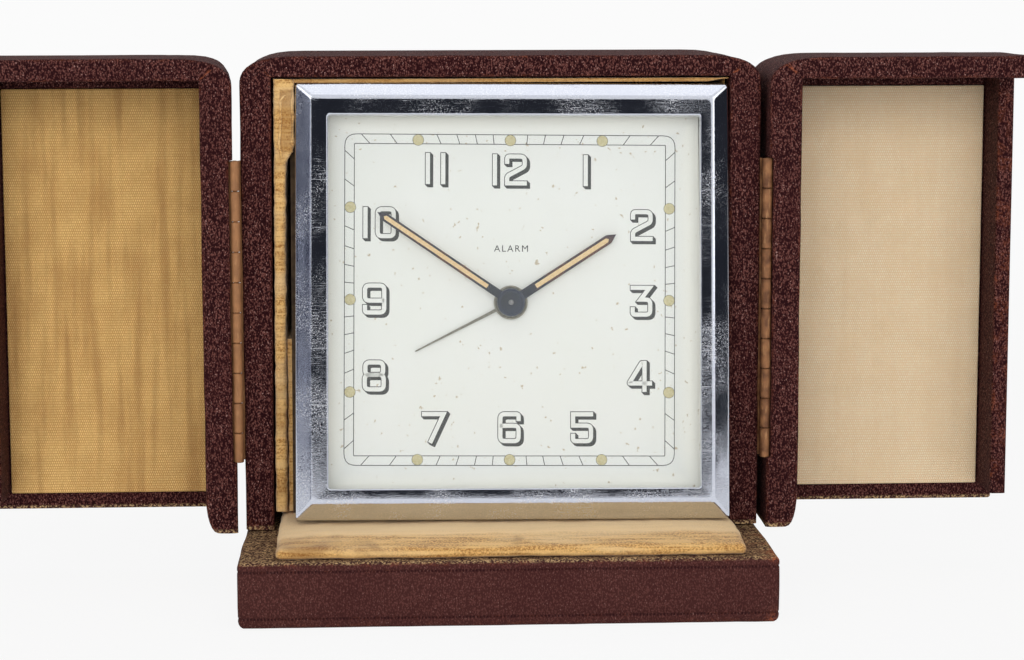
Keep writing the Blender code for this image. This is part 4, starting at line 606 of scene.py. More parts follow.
def oblong(outer, inner, front, back, radius, swell=0.0, step=0.0, worn=0.0):
    """A rounded section between two points of the front view, from front to back.

    Swell lifts the middle of the front face, step lifts all of it, and worn is how far
    the front is rubbed there. Returns the points and their wear.
    """
    outer, inner = Vector(outer), Vector(inner)
    across = inner - outer
    length = across.length
    across = across.normalized()
    front = front - step
    radius = min(radius, length * 0.45)
    corners = ((0.0, front, 180.0, SIDE_PARTS), (length, front, 270.0, FACE_PARTS),
               (length, back, 0.0, SIDE_PARTS), (0.0, back, 90.0, FACE_PARTS))
    points, wear = [], []

    def note(along, depth, rubbed):
        at = outer + across * along
        points.append(Vector((at[0], depth, at[1])))
        wear.append(min(1.0, rubbed + (worn if depth < front + 2 * radius else 0.0)))

    for index, (along, depth, start, _) in enumerate(corners):
        centre_along = radius if along == 0.0 else length - radius
        centre_depth = depth + (radius if index < 2 else -radius)
        rim = 0.22 if index < 2 else 0.12
        for part, angle in enumerate(turns(CORNER_PARTS, start)):
            bend = math.sin(math.pi * part / CORNER_PARTS)
            note(centre_along + radius * math.cos(angle),
                 centre_depth + radius * math.sin(angle), rim * bend)
        following = corners[(index + 1) % 4]
        end_along = radius if following[0] == 0.0 else length - radius
        if index in (0, 2):
            for part in range(1, FACE_PARTS):
                share = part / FACE_PARTS
                lift = swell * math.sin(math.pi * share) if index == 0 else 0.0
                note(centre_along + (end_along - centre_along) * share, depth - lift, 0.0)
        else:
            low = depth + radius if index == 1 else depth - radius
            high = back - radius if index == 1 else front + radius
            for part in range(1, SIDE_PARTS):
                note(along, low + (high - low) * part / SIDE_PARTS, 0.0)
    return points, wear


def walk(points, spacing):
    """Points along a path of straight runs, no further apart than the spacing."""
    path = [Vector(points[0])]
    for start, end in zip(points, points[1:]):
        start, end = Vector(start), Vector(end)
        count = max(1, math.ceil((end - start).length / spacing))
        path += [start.lerp(end, i / count) for i in range(1, count + 1)]
    return path


def ruffle(piece, amount, per_metre, seed=0.0):
    """Push each point along its normal by smooth noise, as hand work is never flat."""
    mesh = piece.data
    shift = Vector((seed, seed * 1.7, -seed))
    moved = [v.co + v.normal * amount * noise.noise(v.co * per_metre + shift)
             for v in mesh.vertices]
    for vertex, place in zip(mesh.vertices, moved):
        vertex.co = place
    mesh.update()
    return piece


def one_mesh(name, pieces):
    """Join several pieces into the first, which keeps its name and material."""
    bm = bmesh.new()
    for piece in pieces:
        bm.from_mesh(piece.data)
    material = pieces[0].material_slots[0].material
    for piece in pieces:
        bpy.data.objects.remove(piece)
    return new_piece(name, mesh_of(bm, name), material)


print("helpers ready")

# %% [markdown]
# ## The case
# Two sides and a top of board, covered in one piece of leather that is mitred and folded
# at the two round top corners. The stations run up the left side, round the corners and
# down the right side. At each mitre the leather on one side lies over the other, so the
# front steps by a fraction of a millimetre, and the fold is rubbed red.

# %% Case
SIDE_WALL = 5.2 * MM
TOP_WALL = 3.2 * MM
CORNER_RUN = 9.8 * MM
CORNER_DROP = 4.6 * MM
CORNER_FULLNESS = 0.76      # 1 for a plain ellipse, less for a squarer corner
RIM_ROUND = 0.55 * MM
BACK_BOARD = 3.0 * MM
FOLD_STEP = 0.18 * MM
MITRE = 0.5                 # share of the corner at which the fold lies
STATION = 2.6 * MM
RAIL_NARROWING = 0.5 * MM   # the left wall is thinner at its foot
FOOT_WEAR = 1.5 * MM        # height over which the feet of the walls are rubbed
FOLD_FADE = 12.0 * MM       # the fold's step fades out over this length down the side
TOP_FADE = 10 * MM          # and over this one along the top
TOP_CROWN = 0.30 * MM       # the leather of the case swells on top

case_low, case_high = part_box("case_shell")
CASE_BOTTOM = case_low.z
CASE_TOP = case_high.z
CASE_HALF = case_high.x
CASE_FRONT = case_low.y
CASE_BACK = case_high.y


def corner_pair(share, half, wall, top_wall, top, crown=0.0):
    """Outer and inner point of a round top corner on the right, 0 at the side, 1 on top."""
    angle = math.radians(90.0 * share)
    outer = (half - CORNER_RUN + CORNER_RUN * math.cos(angle) ** CORNER_FULLNESS,
             top - CORNER_DROP
             + (CORNER_DROP + crown) * math.sin(angle) ** CORNER_FULLNESS)
    elbow = (half - wall, top - top_wall)
    if share < MITRE:
        inner = (elbow[0], top - CORNER_DROP + (elbow[1] - top + CORNER_DROP) * share / MITRE)
    else:
        along = (share - MITRE) / (1.0 - MITRE)
        inner = (elbow[0] + (half - CORNER_RUN - elbow[0]) * along, elbow[1])
    return outer, inner


CORNER_SHARES = (0.0, 0.06, 0.14, 0.24, 0.36, 0.46, 0.49, 0.51, 0.54, 0.64, 0.76, 0.86, 0.94,
                 1.0)


def fold(share, side, rubbed):
    """Step and wear at a mitre: up to it, seen from one side, the leather lies on top."""
    over = FOLD_STEP if side * (MITRE - share) > 0.0 else 0.0
    return over, rubbed if abs(share - MITRE) < 0.03 else 0.0


def case_corner(side, shares, rubbed):
    stations = []
    for share in shares:
        outer, inner = corner_pair(share, CASE_HALF, SIDE_WALL, TOP_WALL, CASE_TOP,
                                   TOP_CROWN)
        stations.append(((side * outer[0], outer[1]), (side * inner[0], inner[1]),
                         *fold(share, side, rubbed)))
    return stations


def case_stations():
    """Outer point, inner point, front step and wear, from the left foot to the right."""
    spring = CASE_TOP - CORNER_DROP
    heights = [p[1] for p in walk([(0.0, CASE_BOTTOM), (0.0, spring)], STATION)][:-1]
    stations = []
    for height in heights:
        foot = clamp(1.0 - (height - CASE_BOTTOM) / FOOT_WEAR)
        thin = RAIL_NARROWING * (spring - height) / (spring - CASE_BOTTOM)
        stations.append(((-CASE_HALF, height), (-CASE_HALF + SIDE_WALL - thin, height), 0.0,
                         0.25 * foot))
    stations += case_corner(-1, CORNER_SHARES, 0.8)
    run = CASE_HALF - CORNER_RUN
    for point in walk([(-run, 0.0), (run, 0.0)], STATION)[1:-1]:
        fade = clamp(1.0 - (point[0] + run) / TOP_FADE)
        stations.append(((point[0], CASE_TOP + TOP_CROWN), (point[0], CASE_TOP - TOP_WALL),
                         FOLD_STEP * fade, 0.0))
    stations += case_corner(1, CORNER_SHARES[::-1], 1.0)
    for height in heights[::-1]:
        fade = clamp(1.0 - (spring - height) / FOLD_FADE)
        foot = clamp(1.0 - (height - CASE_BOTTOM) / FOOT_WEAR)
        stations.append(((CASE_HALF, height), (CASE_HALF - SIDE_WALL, height),
                         FOLD_STEP * fade, 0.25 * foot))
    return stations


WALL_SINK = 0.20 * MM       # so that swollen leather still clears when the doors are shut


def make_walls(name, stations, front, back, swell=0.10 * MM):
    rings, wear = [], []
    for outer, inner, step, rubbed in stations:
        points, worn = oblong(outer, inner, front + WALL_SINK, back, RIM_ROUND, swell, step,
                              rubbed)
        rings.append(points)
        wear.append(worn)
    return skin(name, rings, wear, LEATHER)


case_walls = make_walls("case_walls", case_stations(), CASE_FRONT, CASE_BACK - BACK_BOARD)
ruffle(case_walls, 0.10 * MM, 150.0)
print("case walls", len(case_walls.data.polygons), "faces")

# %% [markdown]
# ## The back of the case
# A covered board with an opening for the back door. Its outline is the outline of the
# case, so it is the same loft as the walls, closed round the opening.

# %% Back board and back door
door_low, door_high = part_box("back_door")
OPENING_PLAY = 0.3 * MM


def case_outline():
    """The front view of the case, from the left foot round to the right foot."""
    corner = [corner_pair(i / 8, CASE_HALF, SIDE_WALL, TOP_WALL, CASE_TOP, TOP_CROWN)[0]
              for i in range(9)]
    return ([(-CASE_HALF, CASE_BOTTOM)] + [(-x, z) for x, z in corner] + corner[::-1]
            + [(CASE_HALF, CASE_BOTTOM)])


def back_stations():
    """Pairs of points on the outline and on the edge of the opening, all the way round."""
    left, right = door_low.x - OPENING_PLAY, door_high.x + OPENING_PLAY
    low, high = door_low.z - OPENING_PLAY, door_high.z + OPENING_PLAY
    outline = walk(case_outline() + [(-CASE_HALF, CASE_BOTTOM)], STATION)[:-1]
    pairs = []
    for x, z in outline:
        inner = (min(max(x, left), right), min(max(z, low), high))
        if abs(x) <= right and z < high and z > low:
            continue
        pairs.append(((x, z), inner))
    return pairs


def make_back_board():
    rings, wear = [], []
    for outer, inner in back_stations():
        points, worn = oblong(outer, inner, CASE_BACK - BACK_BOARD, CASE_BACK, RIM_ROUND)
        rings.append(points)
        wear.append(worn[::-1])
    return skin("case_back_board", rings, wear, LEATHER, closed=True)


def bevelled(name, outline, front, back, radius, material, parts=4):
    """A flat piece in the front view with rounded edges. The outline runs clockwise."""
    bm = bmesh.new()
    corners = [bm.verts.new((x, front, z)) for x, z in outline]
    face = bm.faces.new(corners)
    grown = bmesh.ops.extrude_face_region(bm, geom=[face])
    moved = [v for v in grown["geom"] if isinstance(v, bmesh.types.BMVert)]
    bmesh.ops.translate(bm, vec=(0.0, back - front, 0.0), verts=moved)
    bmesh.ops.recalc_face_normals(bm, faces=bm.faces)
    bm.normal_update()
    sharp = [e for e in bm.edges if e.calc_face_angle(0.0) > math.radians(30.0)]
    bmesh.ops.bevel(bm, geom=sharp, offset=radius, segments=parts, profile=0.5,
                    affect="EDGES", clamp_overlap=True)
    layer = bm.verts.layers.float.new("wear")
    middle = (front + back) / 2
    for vertex in bm.verts:
        near_rim = abs(abs(vertex.co.y - middle) - abs(back - front) / 2) < radius * 0.8
        vertex[layer] = 0.25 if near_rim and abs(vertex.normal.y) < 0.9 else 0.0
    return new_piece(name, mesh_of(bm, name), material, 50.0)


case_leather = one_mesh("case_leather", [case_walls, make_back_board()])
settle(case_leather, "case", "leather", "case_shell")


def rectangle(left, right, low, high):
    return [(left, low), (left, high), (right, high), (right, low)]


back_door = bevelled("back_door_leather",
                     rectangle(door_low.x, door_high.x, door_low.z, door_high.z),
                     door_low.y, door_high.y, 0.6 * MM, LEATHER)
settle(back_door, "back_door", "leather", "back_door")
print("case leather", len(case_leather.data.polygons), "faces")

# %% [markdown]
# ## The plinth
# A flat block of board covered in leather. A hot tool has pressed a line round it just
# below the top edge and another just above the foot. The rings of this loft are rounded
# rectangles at rising heights, drawn in where the tool went and where the edges round,
# and the front flares out a little.

# %% Plinth
PLINTH_CORNER = 1.0 * MM
EDGE_ROUND = 0.8 * MM
FOOT_ROUND = 1.2 * MM
TOOL_DEPTH = 0.10 * MM
TOOL_HALF = 0.28 * MM
TOOL_HEIGHTS = (1.7 * MM, 9.35 * MM)
PLINTH_FLARE = 0.25 * MM    # how far the front stands out beyond the sides
FLARE_RUN = 10 * MM
PLINTH_BULGE = ((3.5, 0.02), (5.5, 0.03), (7.5, 0.02))  # height and swell in mm
RUBBED_FROM = 40.5 * MM     # the front corner at the right is rubbed past this x,
RUBBED_FOOT = 3.5 * MM      # below this height
RUBBED_EDGE = 10.6 * MM     # and near this one

plinth_low, plinth_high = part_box("plinth")


def rounded_rectangle(low, high, inset, corner, spacing):
    """Points of a rounded rectangle in the ground plane, drawn in by the inset."""
    radius = max(corner - inset, 0.15 * MM)
    x0, x1 = low.x + inset + radius, high.x - inset - radius
    y0, y1 = low.y + inset + radius, high.y - inset - radius
    points = []
    for cx, cy, start in ((x1, y0, -90.0), (x1, y1, 0.0), (x0, y1, 90.0), (x0, y0, 180.0)):
        points += [(cx + radius * math.cos(angle), cy + radius * math.sin(angle))
                   for angle in turns(CORNER_PARTS, start)]
    dense = []
    for i, point in enumerate(points):
        following = points[(i + 1) % len(points)]
        side, part = divmod(i, CORNER_PARTS + 1)
        if part == CORNER_PARTS:
            across = high.x - low.x if side % 2 else high.y - low.y
            count = max(1, round(across / spacing))
            dense += [(point[0] + (following[0] - point[0]) * k / count,
                       point[1] + (following[1] - point[1]) * k / count)
                      for k in range(count)]
        else:
            dense.append(point)
    return dense


def stacked(name, low, high, levels, corner, spacing, material):
    """Stack rings: each level is a height, an inset and a wear."""
    rings, wear = [], []
    for height, inset, rubbed in levels:
        ring = rounded_rectangle(low, high, inset, corner, spacing)
        rings.append([Vector((x, y, height)) for x, y in ring])
        wear.append([rubbed] * len(ring))
    return skin(name, rings, wear, material)


def plinth_levels():
    levels = [(FOOT_ROUND * (1 - math.cos(angle)), FOOT_ROUND * (1 - math.sin(angle)),
               0.15 * math.sin(2 * angle)) for angle in turns(4)]
    for height in TOOL_HEIGHTS:
        levels += [(height + offset * TOOL_HALF, TOOL_DEPTH * share, rubbed)
                   for offset, share, rubbed in ((-1.0, 0.0, 0.0), (-0.5, 0.8, 0.10),
                                                 (0.0, 1.0, 0.0), (0.5, 0.8, 0.15),
                                                 (1.0, 0.0, 0.0))]
        if height == TOOL_HEIGHTS[0]:
            levels += [(rise * MM, -swell * MM, 0.0) for rise, swell in PLINTH_BULGE]
    top = plinth_high.z
    levels += [(top - EDGE_ROUND * (1 - math.sin(angle)), EDGE_ROUND * (1 - math.cos(angle)),
                0.25 * math.sin(2 * angle)) for angle in turns(4)]
    return levels + [(top, 2.2 * MM, 0.0), (top, 6.0 * MM, 0.0)]


TOOLED_LEATHER = make_leather("tooled_leather", plinth_high.z - 0.45 * MM, 1, TOOL_HEIGHTS,
                              0.45)
plinth = stacked("plinth_leather", plinth_low, plinth_high, plinth_levels(), PLINTH_CORNER,
                 3.0 * MM, TOOLED_LEATHER)
for vertex in plinth.data.vertices:
    forward = clamp((CASE_FRONT - vertex.co.y) / FLARE_RUN)
    vertex.co.x += math.copysign(PLINTH_FLARE * forward * forward * (3 - 2 * forward),
                                 vertex.co.x)
    corner = clamp((vertex.co.x - RUBBED_FROM) / (2 * MM)) * forward
    corner *= max(0.0, 1.0 - vertex.co.z / RUBBED_FOOT, 1.0 - (RUBBED_EDGE - vertex.co.z) / MM)
    plinth.data.attributes["wear"].data[vertex.index].value += 0.9 * corner ** 2
ruffle(plinth, 0.05 * MM, 260.0, 3.0)
settle(plinth, "case", "leather", "plinth")
print("plinth", len(plinth.data.polygons), "faces")

# %% [markdown]
# ## The pad
# A strip of board and wadding under velvet, on which the clock stands. Its front rounds
# over to the plinth, its top is crowned, and years of use have left it lumpy. It is a
# stack of rounded rings again, closer together, so that noise can push it about.

# %% Pad
pad_low, pad_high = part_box("plinth_pad")
PAD_CORNER = 1.0 * MM
PAD_ROUND = 1.3 * MM
PAD_SWELL = 0.45 * MM       # the velvet stands proud of the board at the right
PAD_FRONT = 0.80 * MM       # and in front
PAD_SINK = 0.25 * MM        # and lies down on the leather
PAD_CREASE = -22.6 * MM     # in front of this the top slopes down
PAD_SLOPE = 0.95 * MM
SWELL_RUN = 8 * MM          # the swelling at the right sets in over this depth


def pad_levels():
    height = pad_high.z - pad_low.z
    shoulder = height - PAD_ROUND - 0.25 * MM
    levels = [(0.0, 0.5 * MM, 0.6), (0.25 * MM, 0.1 * MM, 0.6), (0.7 * MM, 0.0, 0.2),
              (shoulder, 0.0, 0.0)]
    levels += [(shoulder + PAD_ROUND * math.sin(angle), PAD_ROUND * (1 - math.cos(angle)), 0.1)
               for angle in turns(6)[1:]]
    levels += [(height - 0.25 * MM * (1 - share), PAD_ROUND + 6.0 * MM * share, 0.0)
               for share in (0.35, 0.7, 1.0)]
    levels += [(height, PAD_ROUND + 9.0 * MM, 0.0), (height, PAD_ROUND + 13.0 * MM, 0.0)]
    stretch = (height + PAD_SINK) / height
    return [(pad_low.z - PAD_SINK + h * stretch, inset, rubbed) for h, inset, rubbed in levels]


pad = stacked("velvet_pad", pad_low - Vector((0.0, PAD_FRONT, 0.0)),
              pad_high + Vector((PAD_SWELL, 0.0, 0.0)), pad_levels(), PAD_CORNER, 1.2 * MM,
              VELVET)
for vertex in pad.data.vertices:
    if vertex.co.x > 0.0:
        vertex.co.x += PAD_SWELL * clamp((CASE_FRONT - vertex.co.y) / SWELL_RUN)
    ahead = max(0.0, (PAD_CREASE - vertex.co.y) / (PAD_CREASE - pad_low.y))
    raised = clamp((vertex.co.z - pad_low.z) / (pad_high.z - pad_low.z))
    vertex.co.z -= PAD_SLOPE * ahead ** 1.3 * raised
ruffle(ruffle(pad, 0.16 * MM, 420.0, 5.0), 0.14 * MM, 150.0, 6.0)
settle(pad, "case", "velvet", "plinth_pad")
print("pad", len(pad.data.polygons), "faces")

# %% [markdown]
# ## The lining beside and above the clock
# Velvet on thin card. The strip at the left stands free of the clock and has frayed and
# swollen near the top, and a ridge and a loose flap run down that part. A browner strip
# shows low down behind it. The strips at the top and the right are thin. Each is a wall
# like those of the case, and the ragged edge comes from noise on its width.

# %% Lining
LINING_LEFT = 2.4 * MM
LINING_RIGHT = 0.4 * MM
LINING_TOP = 0.65 * MM
RIGHT_SETBACK = 4.8 * MM    # the right strip starts behind the bezel
INNER_SETBACK = 0.9 * MM    # the browner strip lies a little further back
INNER_X = -36.2 * MM
INNER_TOP = 43.5 * MM
FLAP_X = -36.95 * MM
RIDGE_PATH = ((-36.9, 74.0), (-37.3, 76.5), (-37.05, 79.0), (-36.95, 83.6), (-36.3, 84.5))
SWOLLEN = 1.0 * MM
THINNED = 0.45 * MM
TORN_HEIGHT = 74.4 * MM     # above this the velvet has swollen, below it has worn away
TORN_RUN = 0.45 * MM
RAGGED = 0.20 * MM
FRAYED = 0.3 * MM
TAPER_FROM = 34.5 * MM      # the top strip thins out from here
TAPER_RUN = 2.8 * MM
TAPERED = 0.5 * MM
lining_low, lining_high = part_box("case_lining")


def swelling(point):
    """How far the left strip bulges at a height: most just below the top."""
    height = point[1]
    rise = (height - TORN_HEIGHT) / TORN_RUN
    bulge = 1.0 / (1.0 + math.exp(-rise))
    ragged = noise.noise(Vector((0.0, 0.0, height * 700.0)))
    return (SWOLLEN + THINNED) * bulge - THINNED + RAGGED * ragged


def tapering(point):
    """The top strip runs out to nothing at its right end."""
    return -TAPERED * clamp((point[0] - TAPER_FROM) / TAPER_RUN)


def fraying(point):
    return FRAYED * noise.noise(Vector((1.0, 0.0, point[1] * 500.0)))


def strip(name, path, thickness, inward, radius, varied=None, setback=0.0, worn=0.0):
    """A velvet strip along a path in the front view, thick towards the clock."""
    rings, wear = [], []
    for point in walk(path, 0.9 * MM):
        extra = varied(point) if varied else 0.0
        inner = Vector(point) + Vector(inward) * (thickness + extra)
        points, rubbed = oblong(point, inner, lining_low.y + setback, lining_high.y, radius)
        rings.append(points)
        wear.append([max(w, worn) for w in rubbed])
    return skin(name, rings, wear, VELVET)


strip_foot = pad_high.z + 0.3 * MM
left_strip = strip("lining_left", [(lining_low.x - 0.9 * RAIL_NARROWING, strip_foot),
                                   (lining_low.x + 0.1 * MM, lining_high.z)],
                   LINING_LEFT, (1.0, 0.0), 0.7 * MM, swelling, 0.0, 0.18)
ruffle(left_strip, 0.16 * MM, 900.0, 2.0)
right_strip = strip("lining_right",
                    [(lining_high.x, strip_foot), (lining_high.x, lining_high.z)],
                    LINING_RIGHT, (-1.0, 0.0), 0.15 * MM, setback=RIGHT_SETBACK)
top_strip = strip("lining_top", [(lining_low.x + LINING_LEFT, lining_high.z),
                                 (lining_high.x, lining_high.z)],
                  LINING_TOP, (0.0, -1.0), 0.2 * MM, tapering, 0.6 * MM, 0.8)
inner_strip = strip("lining_inner", [(INNER_X, strip_foot), (INNER_X, INNER_TOP)],
                    1.7 * MM, (1.0, 0.0), 0.4 * MM, None, INNER_SETBACK, 0.45)
ruffle(inner_strip, 0.15 * MM, 700.0, 9.0)
ruffle(top_strip, 0.05 * MM, 900.0, 4.0)
ridge = strip("lining_ridge", [(x * MM, z * MM) for x, z in RIDGE_PATH], 0.45 * MM,
              (1.0, 0.0), 0.2 * MM, setback=-0.45 * MM)
ruffle(ridge, 0.12 * MM, 900.0, 8.0)
flap = strip("lining_flap", [(FLAP_X, 75.0 * MM), (FLAP_X, 85.4 * MM)], 2.05 * MM,
             (1.0, 0.0), 0.3 * MM, fraying, -0.12 * MM, 0.9)
ruffle(flap, 0.14 * MM, 900.0, 11.0)
lining = one_mesh("velvet_lining", [left_strip, right_strip, top_strip, ridge,
                                    inner_strip, flap])
settle(lining, "case", "velvet", "case_lining")
print("lining", len(lining.data.polygons), "faces")

# %% [markdown]
# ## The doors
# Each door is a shallow tray. It has a high rail at the hinge, a high wall on top, a low
# wall at the free edge, and a thin board as its back. Below it is open, so that it clears
# the pad when it shuts. The rail's foot is rounded off, and its leather is let in for the
# hinge. Distances run from the hinge edge outwards, so one function makes both doors.

# %% Doors
RAIL = 4.75 * MM
DOOR_TOP_WALL = 3.7 * MM
DOOR_SKIN = 2.0 * MM
LOW_WALL = 2.7 * MM
LOW_SETBACK = 11.6 * MM
DOOR_FOOT_FLAT = 2.9 * MM
DOOR_FOOT_RISE = 5.7 * MM
DOOR_FLOOR = 14.1 * MM
LET_IN = 0.65 * MM          # how far the leather stands out above and below the hinge
TURN_IN = 1.5 * MM          # leather turned in above the cloth
CLOTH_SPREAD = 0.7 * MM     # the cloth runs up to the rail
CLOTH_GAP = 0.2 * MM        # between the cloth and the leather turned in above it
RAIL_TAPER = {-1: 1.6 * MM, 1: 0.0}     # the left rail narrows towards the back
TAPER_REACH = 4.5 * MM
FREE_WALL_DROP = 3.0 * MM   # the free wall ends below the top wall
BODY_OF_DOOR = {-1: "left_door", 1: "right_door"}
hinge_low, hinge_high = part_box("left_hinge_pin")
HINGE_RISE = 0.80 * MM      # the brass sits a little above the middle of its slot


def door_size(side):
    """Width, rim, back, foot and top of a door, and the x of its hinge edge."""
    low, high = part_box(BODY_OF_DOOR[side])
    edge = high.x if side < 0 else low.x
    return high.x - low.x, low.y, high.y, low.z, high.z, edge


def foot_reach(height, foot):
    """Distance of the rail's inner side at a height, where its foot is rounded off."""
    drop = max(0.0, foot + DOOR_FOOT_RISE - height) / DOOR_FOOT_RISE
    return DOOR_FOOT_FLAT + (RAIL - DOOR_FOOT_FLAT) * math.sqrt(1 - drop * drop)


def let_in(height):
    """How far the leather stands out at a height: none along the hinge."""
    inside = hinge_low.z < height - HINGE_RISE < hinge_high.z
    return 0.0 if inside else -LET_IN


def rail_heights(foot, spring):
    heights = [foot + DOOR_FOOT_RISE * (1 - math.cos(math.radians(15.0 * i)))
               for i in range(7)]
    heights += [p[1] for p in walk([(0.0, heights[-1]), (0.0, spring)], STATION)][1:-1]
    for end in (hinge_low.z + HINGE_RISE, hinge_high.z + HINGE_RISE):
        heights = [h for h in heights if abs(h - end) > 0.5 * MM]
        heights += [end - 0.12 * MM, end + 0.12 * MM]
    return sorted(heights)


def rail_stations(side):
    width, _, _, foot, top, edge = door_size(side)
    stations = []
    for height in rail_heights(foot, top - CORNER_DROP):
        rubbed = 0.1 if height < foot + 1.0 * MM else 0.0
        stations.append(((let_in(height), height), (foot_reach(height, foot), height), 0.0,
                         rubbed))
    for share in CORNER_SHARES:
        outer, inner = corner_pair(share, CASE_HALF, RAIL, DOOR_TOP_WALL, top)
        stations.append(((CASE_HALF - outer[0] - LET_IN * (1 - share), outer[1]),
                         (CASE_HALF - inner[0], inner[1]), *fold(share, 1, 0.9)))
    stations += [((point[0], top), (point[0], top - DOOR_TOP_WALL), 0.0, 0.0)
                 for point in walk([(CORNER_RUN, 0.0), (width, 0.0)], STATION)[1:]]
    return [((edge + side * o[0], o[1]), (edge + side * i[0], i[1]), s, r)
            for o, i, s, r in stations]


def free_wall_stations(side):
    width, _, _, _, top, edge = door_size(side)
    far = edge + side * width
    return [((far, height), (far - side * LOW_WALL, height), 0.0, 0.2)
            for _, height in walk([(0.0, DOOR_FLOOR), (0.0, top - FREE_WALL_DROP)],
                                  STATION)]


def door_skin_outline(side):
    width, _, _, foot, top, edge = door_size(side)
    points = [(0.0, foot), (width, foot), (width, top)]
    for i in range(9):
        outer, _ = corner_pair(1 - i / 8, CASE_HALF, RAIL, DOOR_TOP_WALL, top)
        points.append((CASE_HALF - outer[0], outer[1]))
    return [(edge + side * x, z) for x, z in points]


def make_door(side):
    _, rim, back, _, _, edge = door_size(side)
    body = BODY_OF_DOOR[side]
    walls = make_walls(body + "_walls", rail_stations(side), rim, back - DOOR_SKIN / 2)
    ruffle(walls, 0.12 * MM, 170.0, 7.0 * side)
    free_wall = make_walls(body + "_free_wall", free_wall_stations(side), rim + LOW_SETBACK,
                           back - DOOR_SKIN / 2, 0.0)
    panel = bevelled(body + "_panel", door_skin_outline(side), back - DOOR_SKIN, back,
                     0.5 * MM, LEATHER)
    cloth_low, cloth_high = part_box(body + "_lining")
    if side < 0:
        cloth_high.x += CLOTH_SPREAD
    else:
        cloth_low.x -= CLOTH_SPREAD
    roll = bevelled(body + "_turn_in",
                    rectangle(cloth_low.x, cloth_high.x, cloth_high.z - TURN_IN, cloth_high.z),
                    cloth_low.y - 0.3 * MM, cloth_high.y, 0.3 * MM, LEATHER)
    door = one_mesh(body + "_leather", [walls, free_wall, panel, roll])
    for vertex in door.data.vertices:
        inward = clamp(1.0 - side * (vertex.co.x - edge) / TAPER_REACH)
        vertex.co.x += (side * RAIL_TAPER[side] * inward
                        * min(1.0, (vertex.co.y - rim) / (back - rim)))
    settle(door, body, "leather", body)
    card = bevelled(body + "_cloth",
                    rectangle(cloth_low.x, cloth_high.x, cloth_low.z,
                              cloth_high.z - TURN_IN - CLOTH_GAP),
                    cloth_low.y, cloth_high.y, 0.25 * MM,
                    LEFT_CLOTH_STAINED_PAINTED_LIGHT if side < 0 else RIGHT_CLOTH_PAINTED_LIGHT)
    settle(card, body, "fabric", body + "_lining")
    return door


for side in (-1, 1):
    made = make_door(side)
    print(made.name, len(made.data.polygons), "faces")

# %% [markdown]
# ## Growing rows with Geometry Nodes
# A piano hinge is one knuckle repeated, and screws are one screw repeated. A node tree
# with named inputs sets copies of an object out along a line. It ends in Realize
# Instances and Set Material, and its result is kept as a plain mesh.

# %% Tree for a row of equal pieces
def new_tree(name, **inputs):
    """A Geometry Nodes tree with one named input socket for each name and kind."""
    tree = bpy.data.node_groups.new(name, "GeometryNodeTree")
    tree.interface.new_socket("Geometry", in_out="OUTPUT", socket_type="NodeSocketGeometry")
    for key, kind in inputs.items():
        tree.interface.new_socket(key, in_out="INPUT", socket_type="NodeSocket" + kind)
    return tree


def set_out(tree, given, points, piece, **settings):
    """End a tree: the piece on each point, made real, with its material."""
    source = put(tree, "GeometryNodeObjectInfo", {"Object": given[piece]})
    copies = put(tree, "GeometryNodeInstanceOnPoints", {
        "Points": points, "Instance": source.outputs["Geometry"], **settings})
    real = put(tree, "GeometryNodeRealizeInstances", {"Geometry": copies.outputs[0]})
    done = put(tree, "GeometryNodeSetMaterial", {"Geometry": real.outputs[0],
                                                 "Material": given["Material"]})
    put(tree, "NodeGroupOutput", {0: done.outputs[0]})
    return tree


def make_row_tree():
    tree = new_tree("row_of_pieces", Count="Int", Start="Vector", Step="Vector",
                    Piece="Object", Material="Material")
    given = put(tree, "NodeGroupInput").outputs
    line = put(tree, "GeometryNodeMeshLine", {"Count": given["Count"],
                                              "Start Location": given["Start"],
                                              "Offset": given["Step"]}, mode="OFFSET")
    return set_out(tree, given, line.outputs[0], "Piece")


def grow(name, tree, **values):
    """Run a tree on an empty host and keep what it makes as a plain mesh."""
    host = bpy.data.objects.new(name + "_host", bpy.data.meshes.new(name + "_host"))
    COLLECTION.objects.link(host)
    modifier = host.modifiers.new("grow", "NODES")
    modifier.node_group = tree
    named = {item.name: item.identifier for item in tree.interface.items_tree
             if item.item_type == "SOCKET" and item.in_out == "INPUT"}
    for key, value in values.items():
        modifier[named[key]] = value
    mesh = mesh_from(host)
    mesh.name = name
    return mesh


ROW_TREE = make_row_tree()
print("row tree", len(ROW_TREE.nodes), "nodes")

# %% [markdown]
# ## The piano hinges
# Each hinge is two strips of brass whose edges are rolled into ten knuckles round a pin,
# turn about. A knuckle is a rolled tube with its ends broken, and the tree sets out five
# for each leaf, two pitches apart. The strips run into slots in the case and the doors.

# %% Hinges
KNUCKLE_RADIUS = 0.82 * MM
KNUCKLE_BORE = 0.40 * MM
KNUCKLE_BREAK = 0.12 * MM
KNUCKLE_SIDES = 24
LEAF_THICK = 0.3 * MM
LEAF_START = 0.55 * MM      # from the axis, under the knuckles
PIN_RADIUS = KNUCKLE_BORE - 0.02 * MM
PIN_END = 0.30 * MM
PIN_TAPER = 0.1 * MM
KNUCKLES = 10
HINGE_PLAY = 0.14 * MM


def knuckle_mesh(length):
    """A short tube upright on the origin, with broken ends and a closed skin."""
    sides = [(KNUCKLE_BORE, 0.0), (KNUCKLE_RADIUS - KNUCKLE_BREAK, 0.0),
             (KNUCKLE_RADIUS, KNUCKLE_BREAK), (KNUCKLE_RADIUS, length / 2),
             (KNUCKLE_RADIUS, length - KNUCKLE_BREAK),
             (KNUCKLE_RADIUS - KNUCKLE_BREAK, length), (KNUCKLE_BORE, length)]
    return skin("knuckle", spun(sides, KNUCKLE_SIDES), None, AGED_BRASS, closed=True)


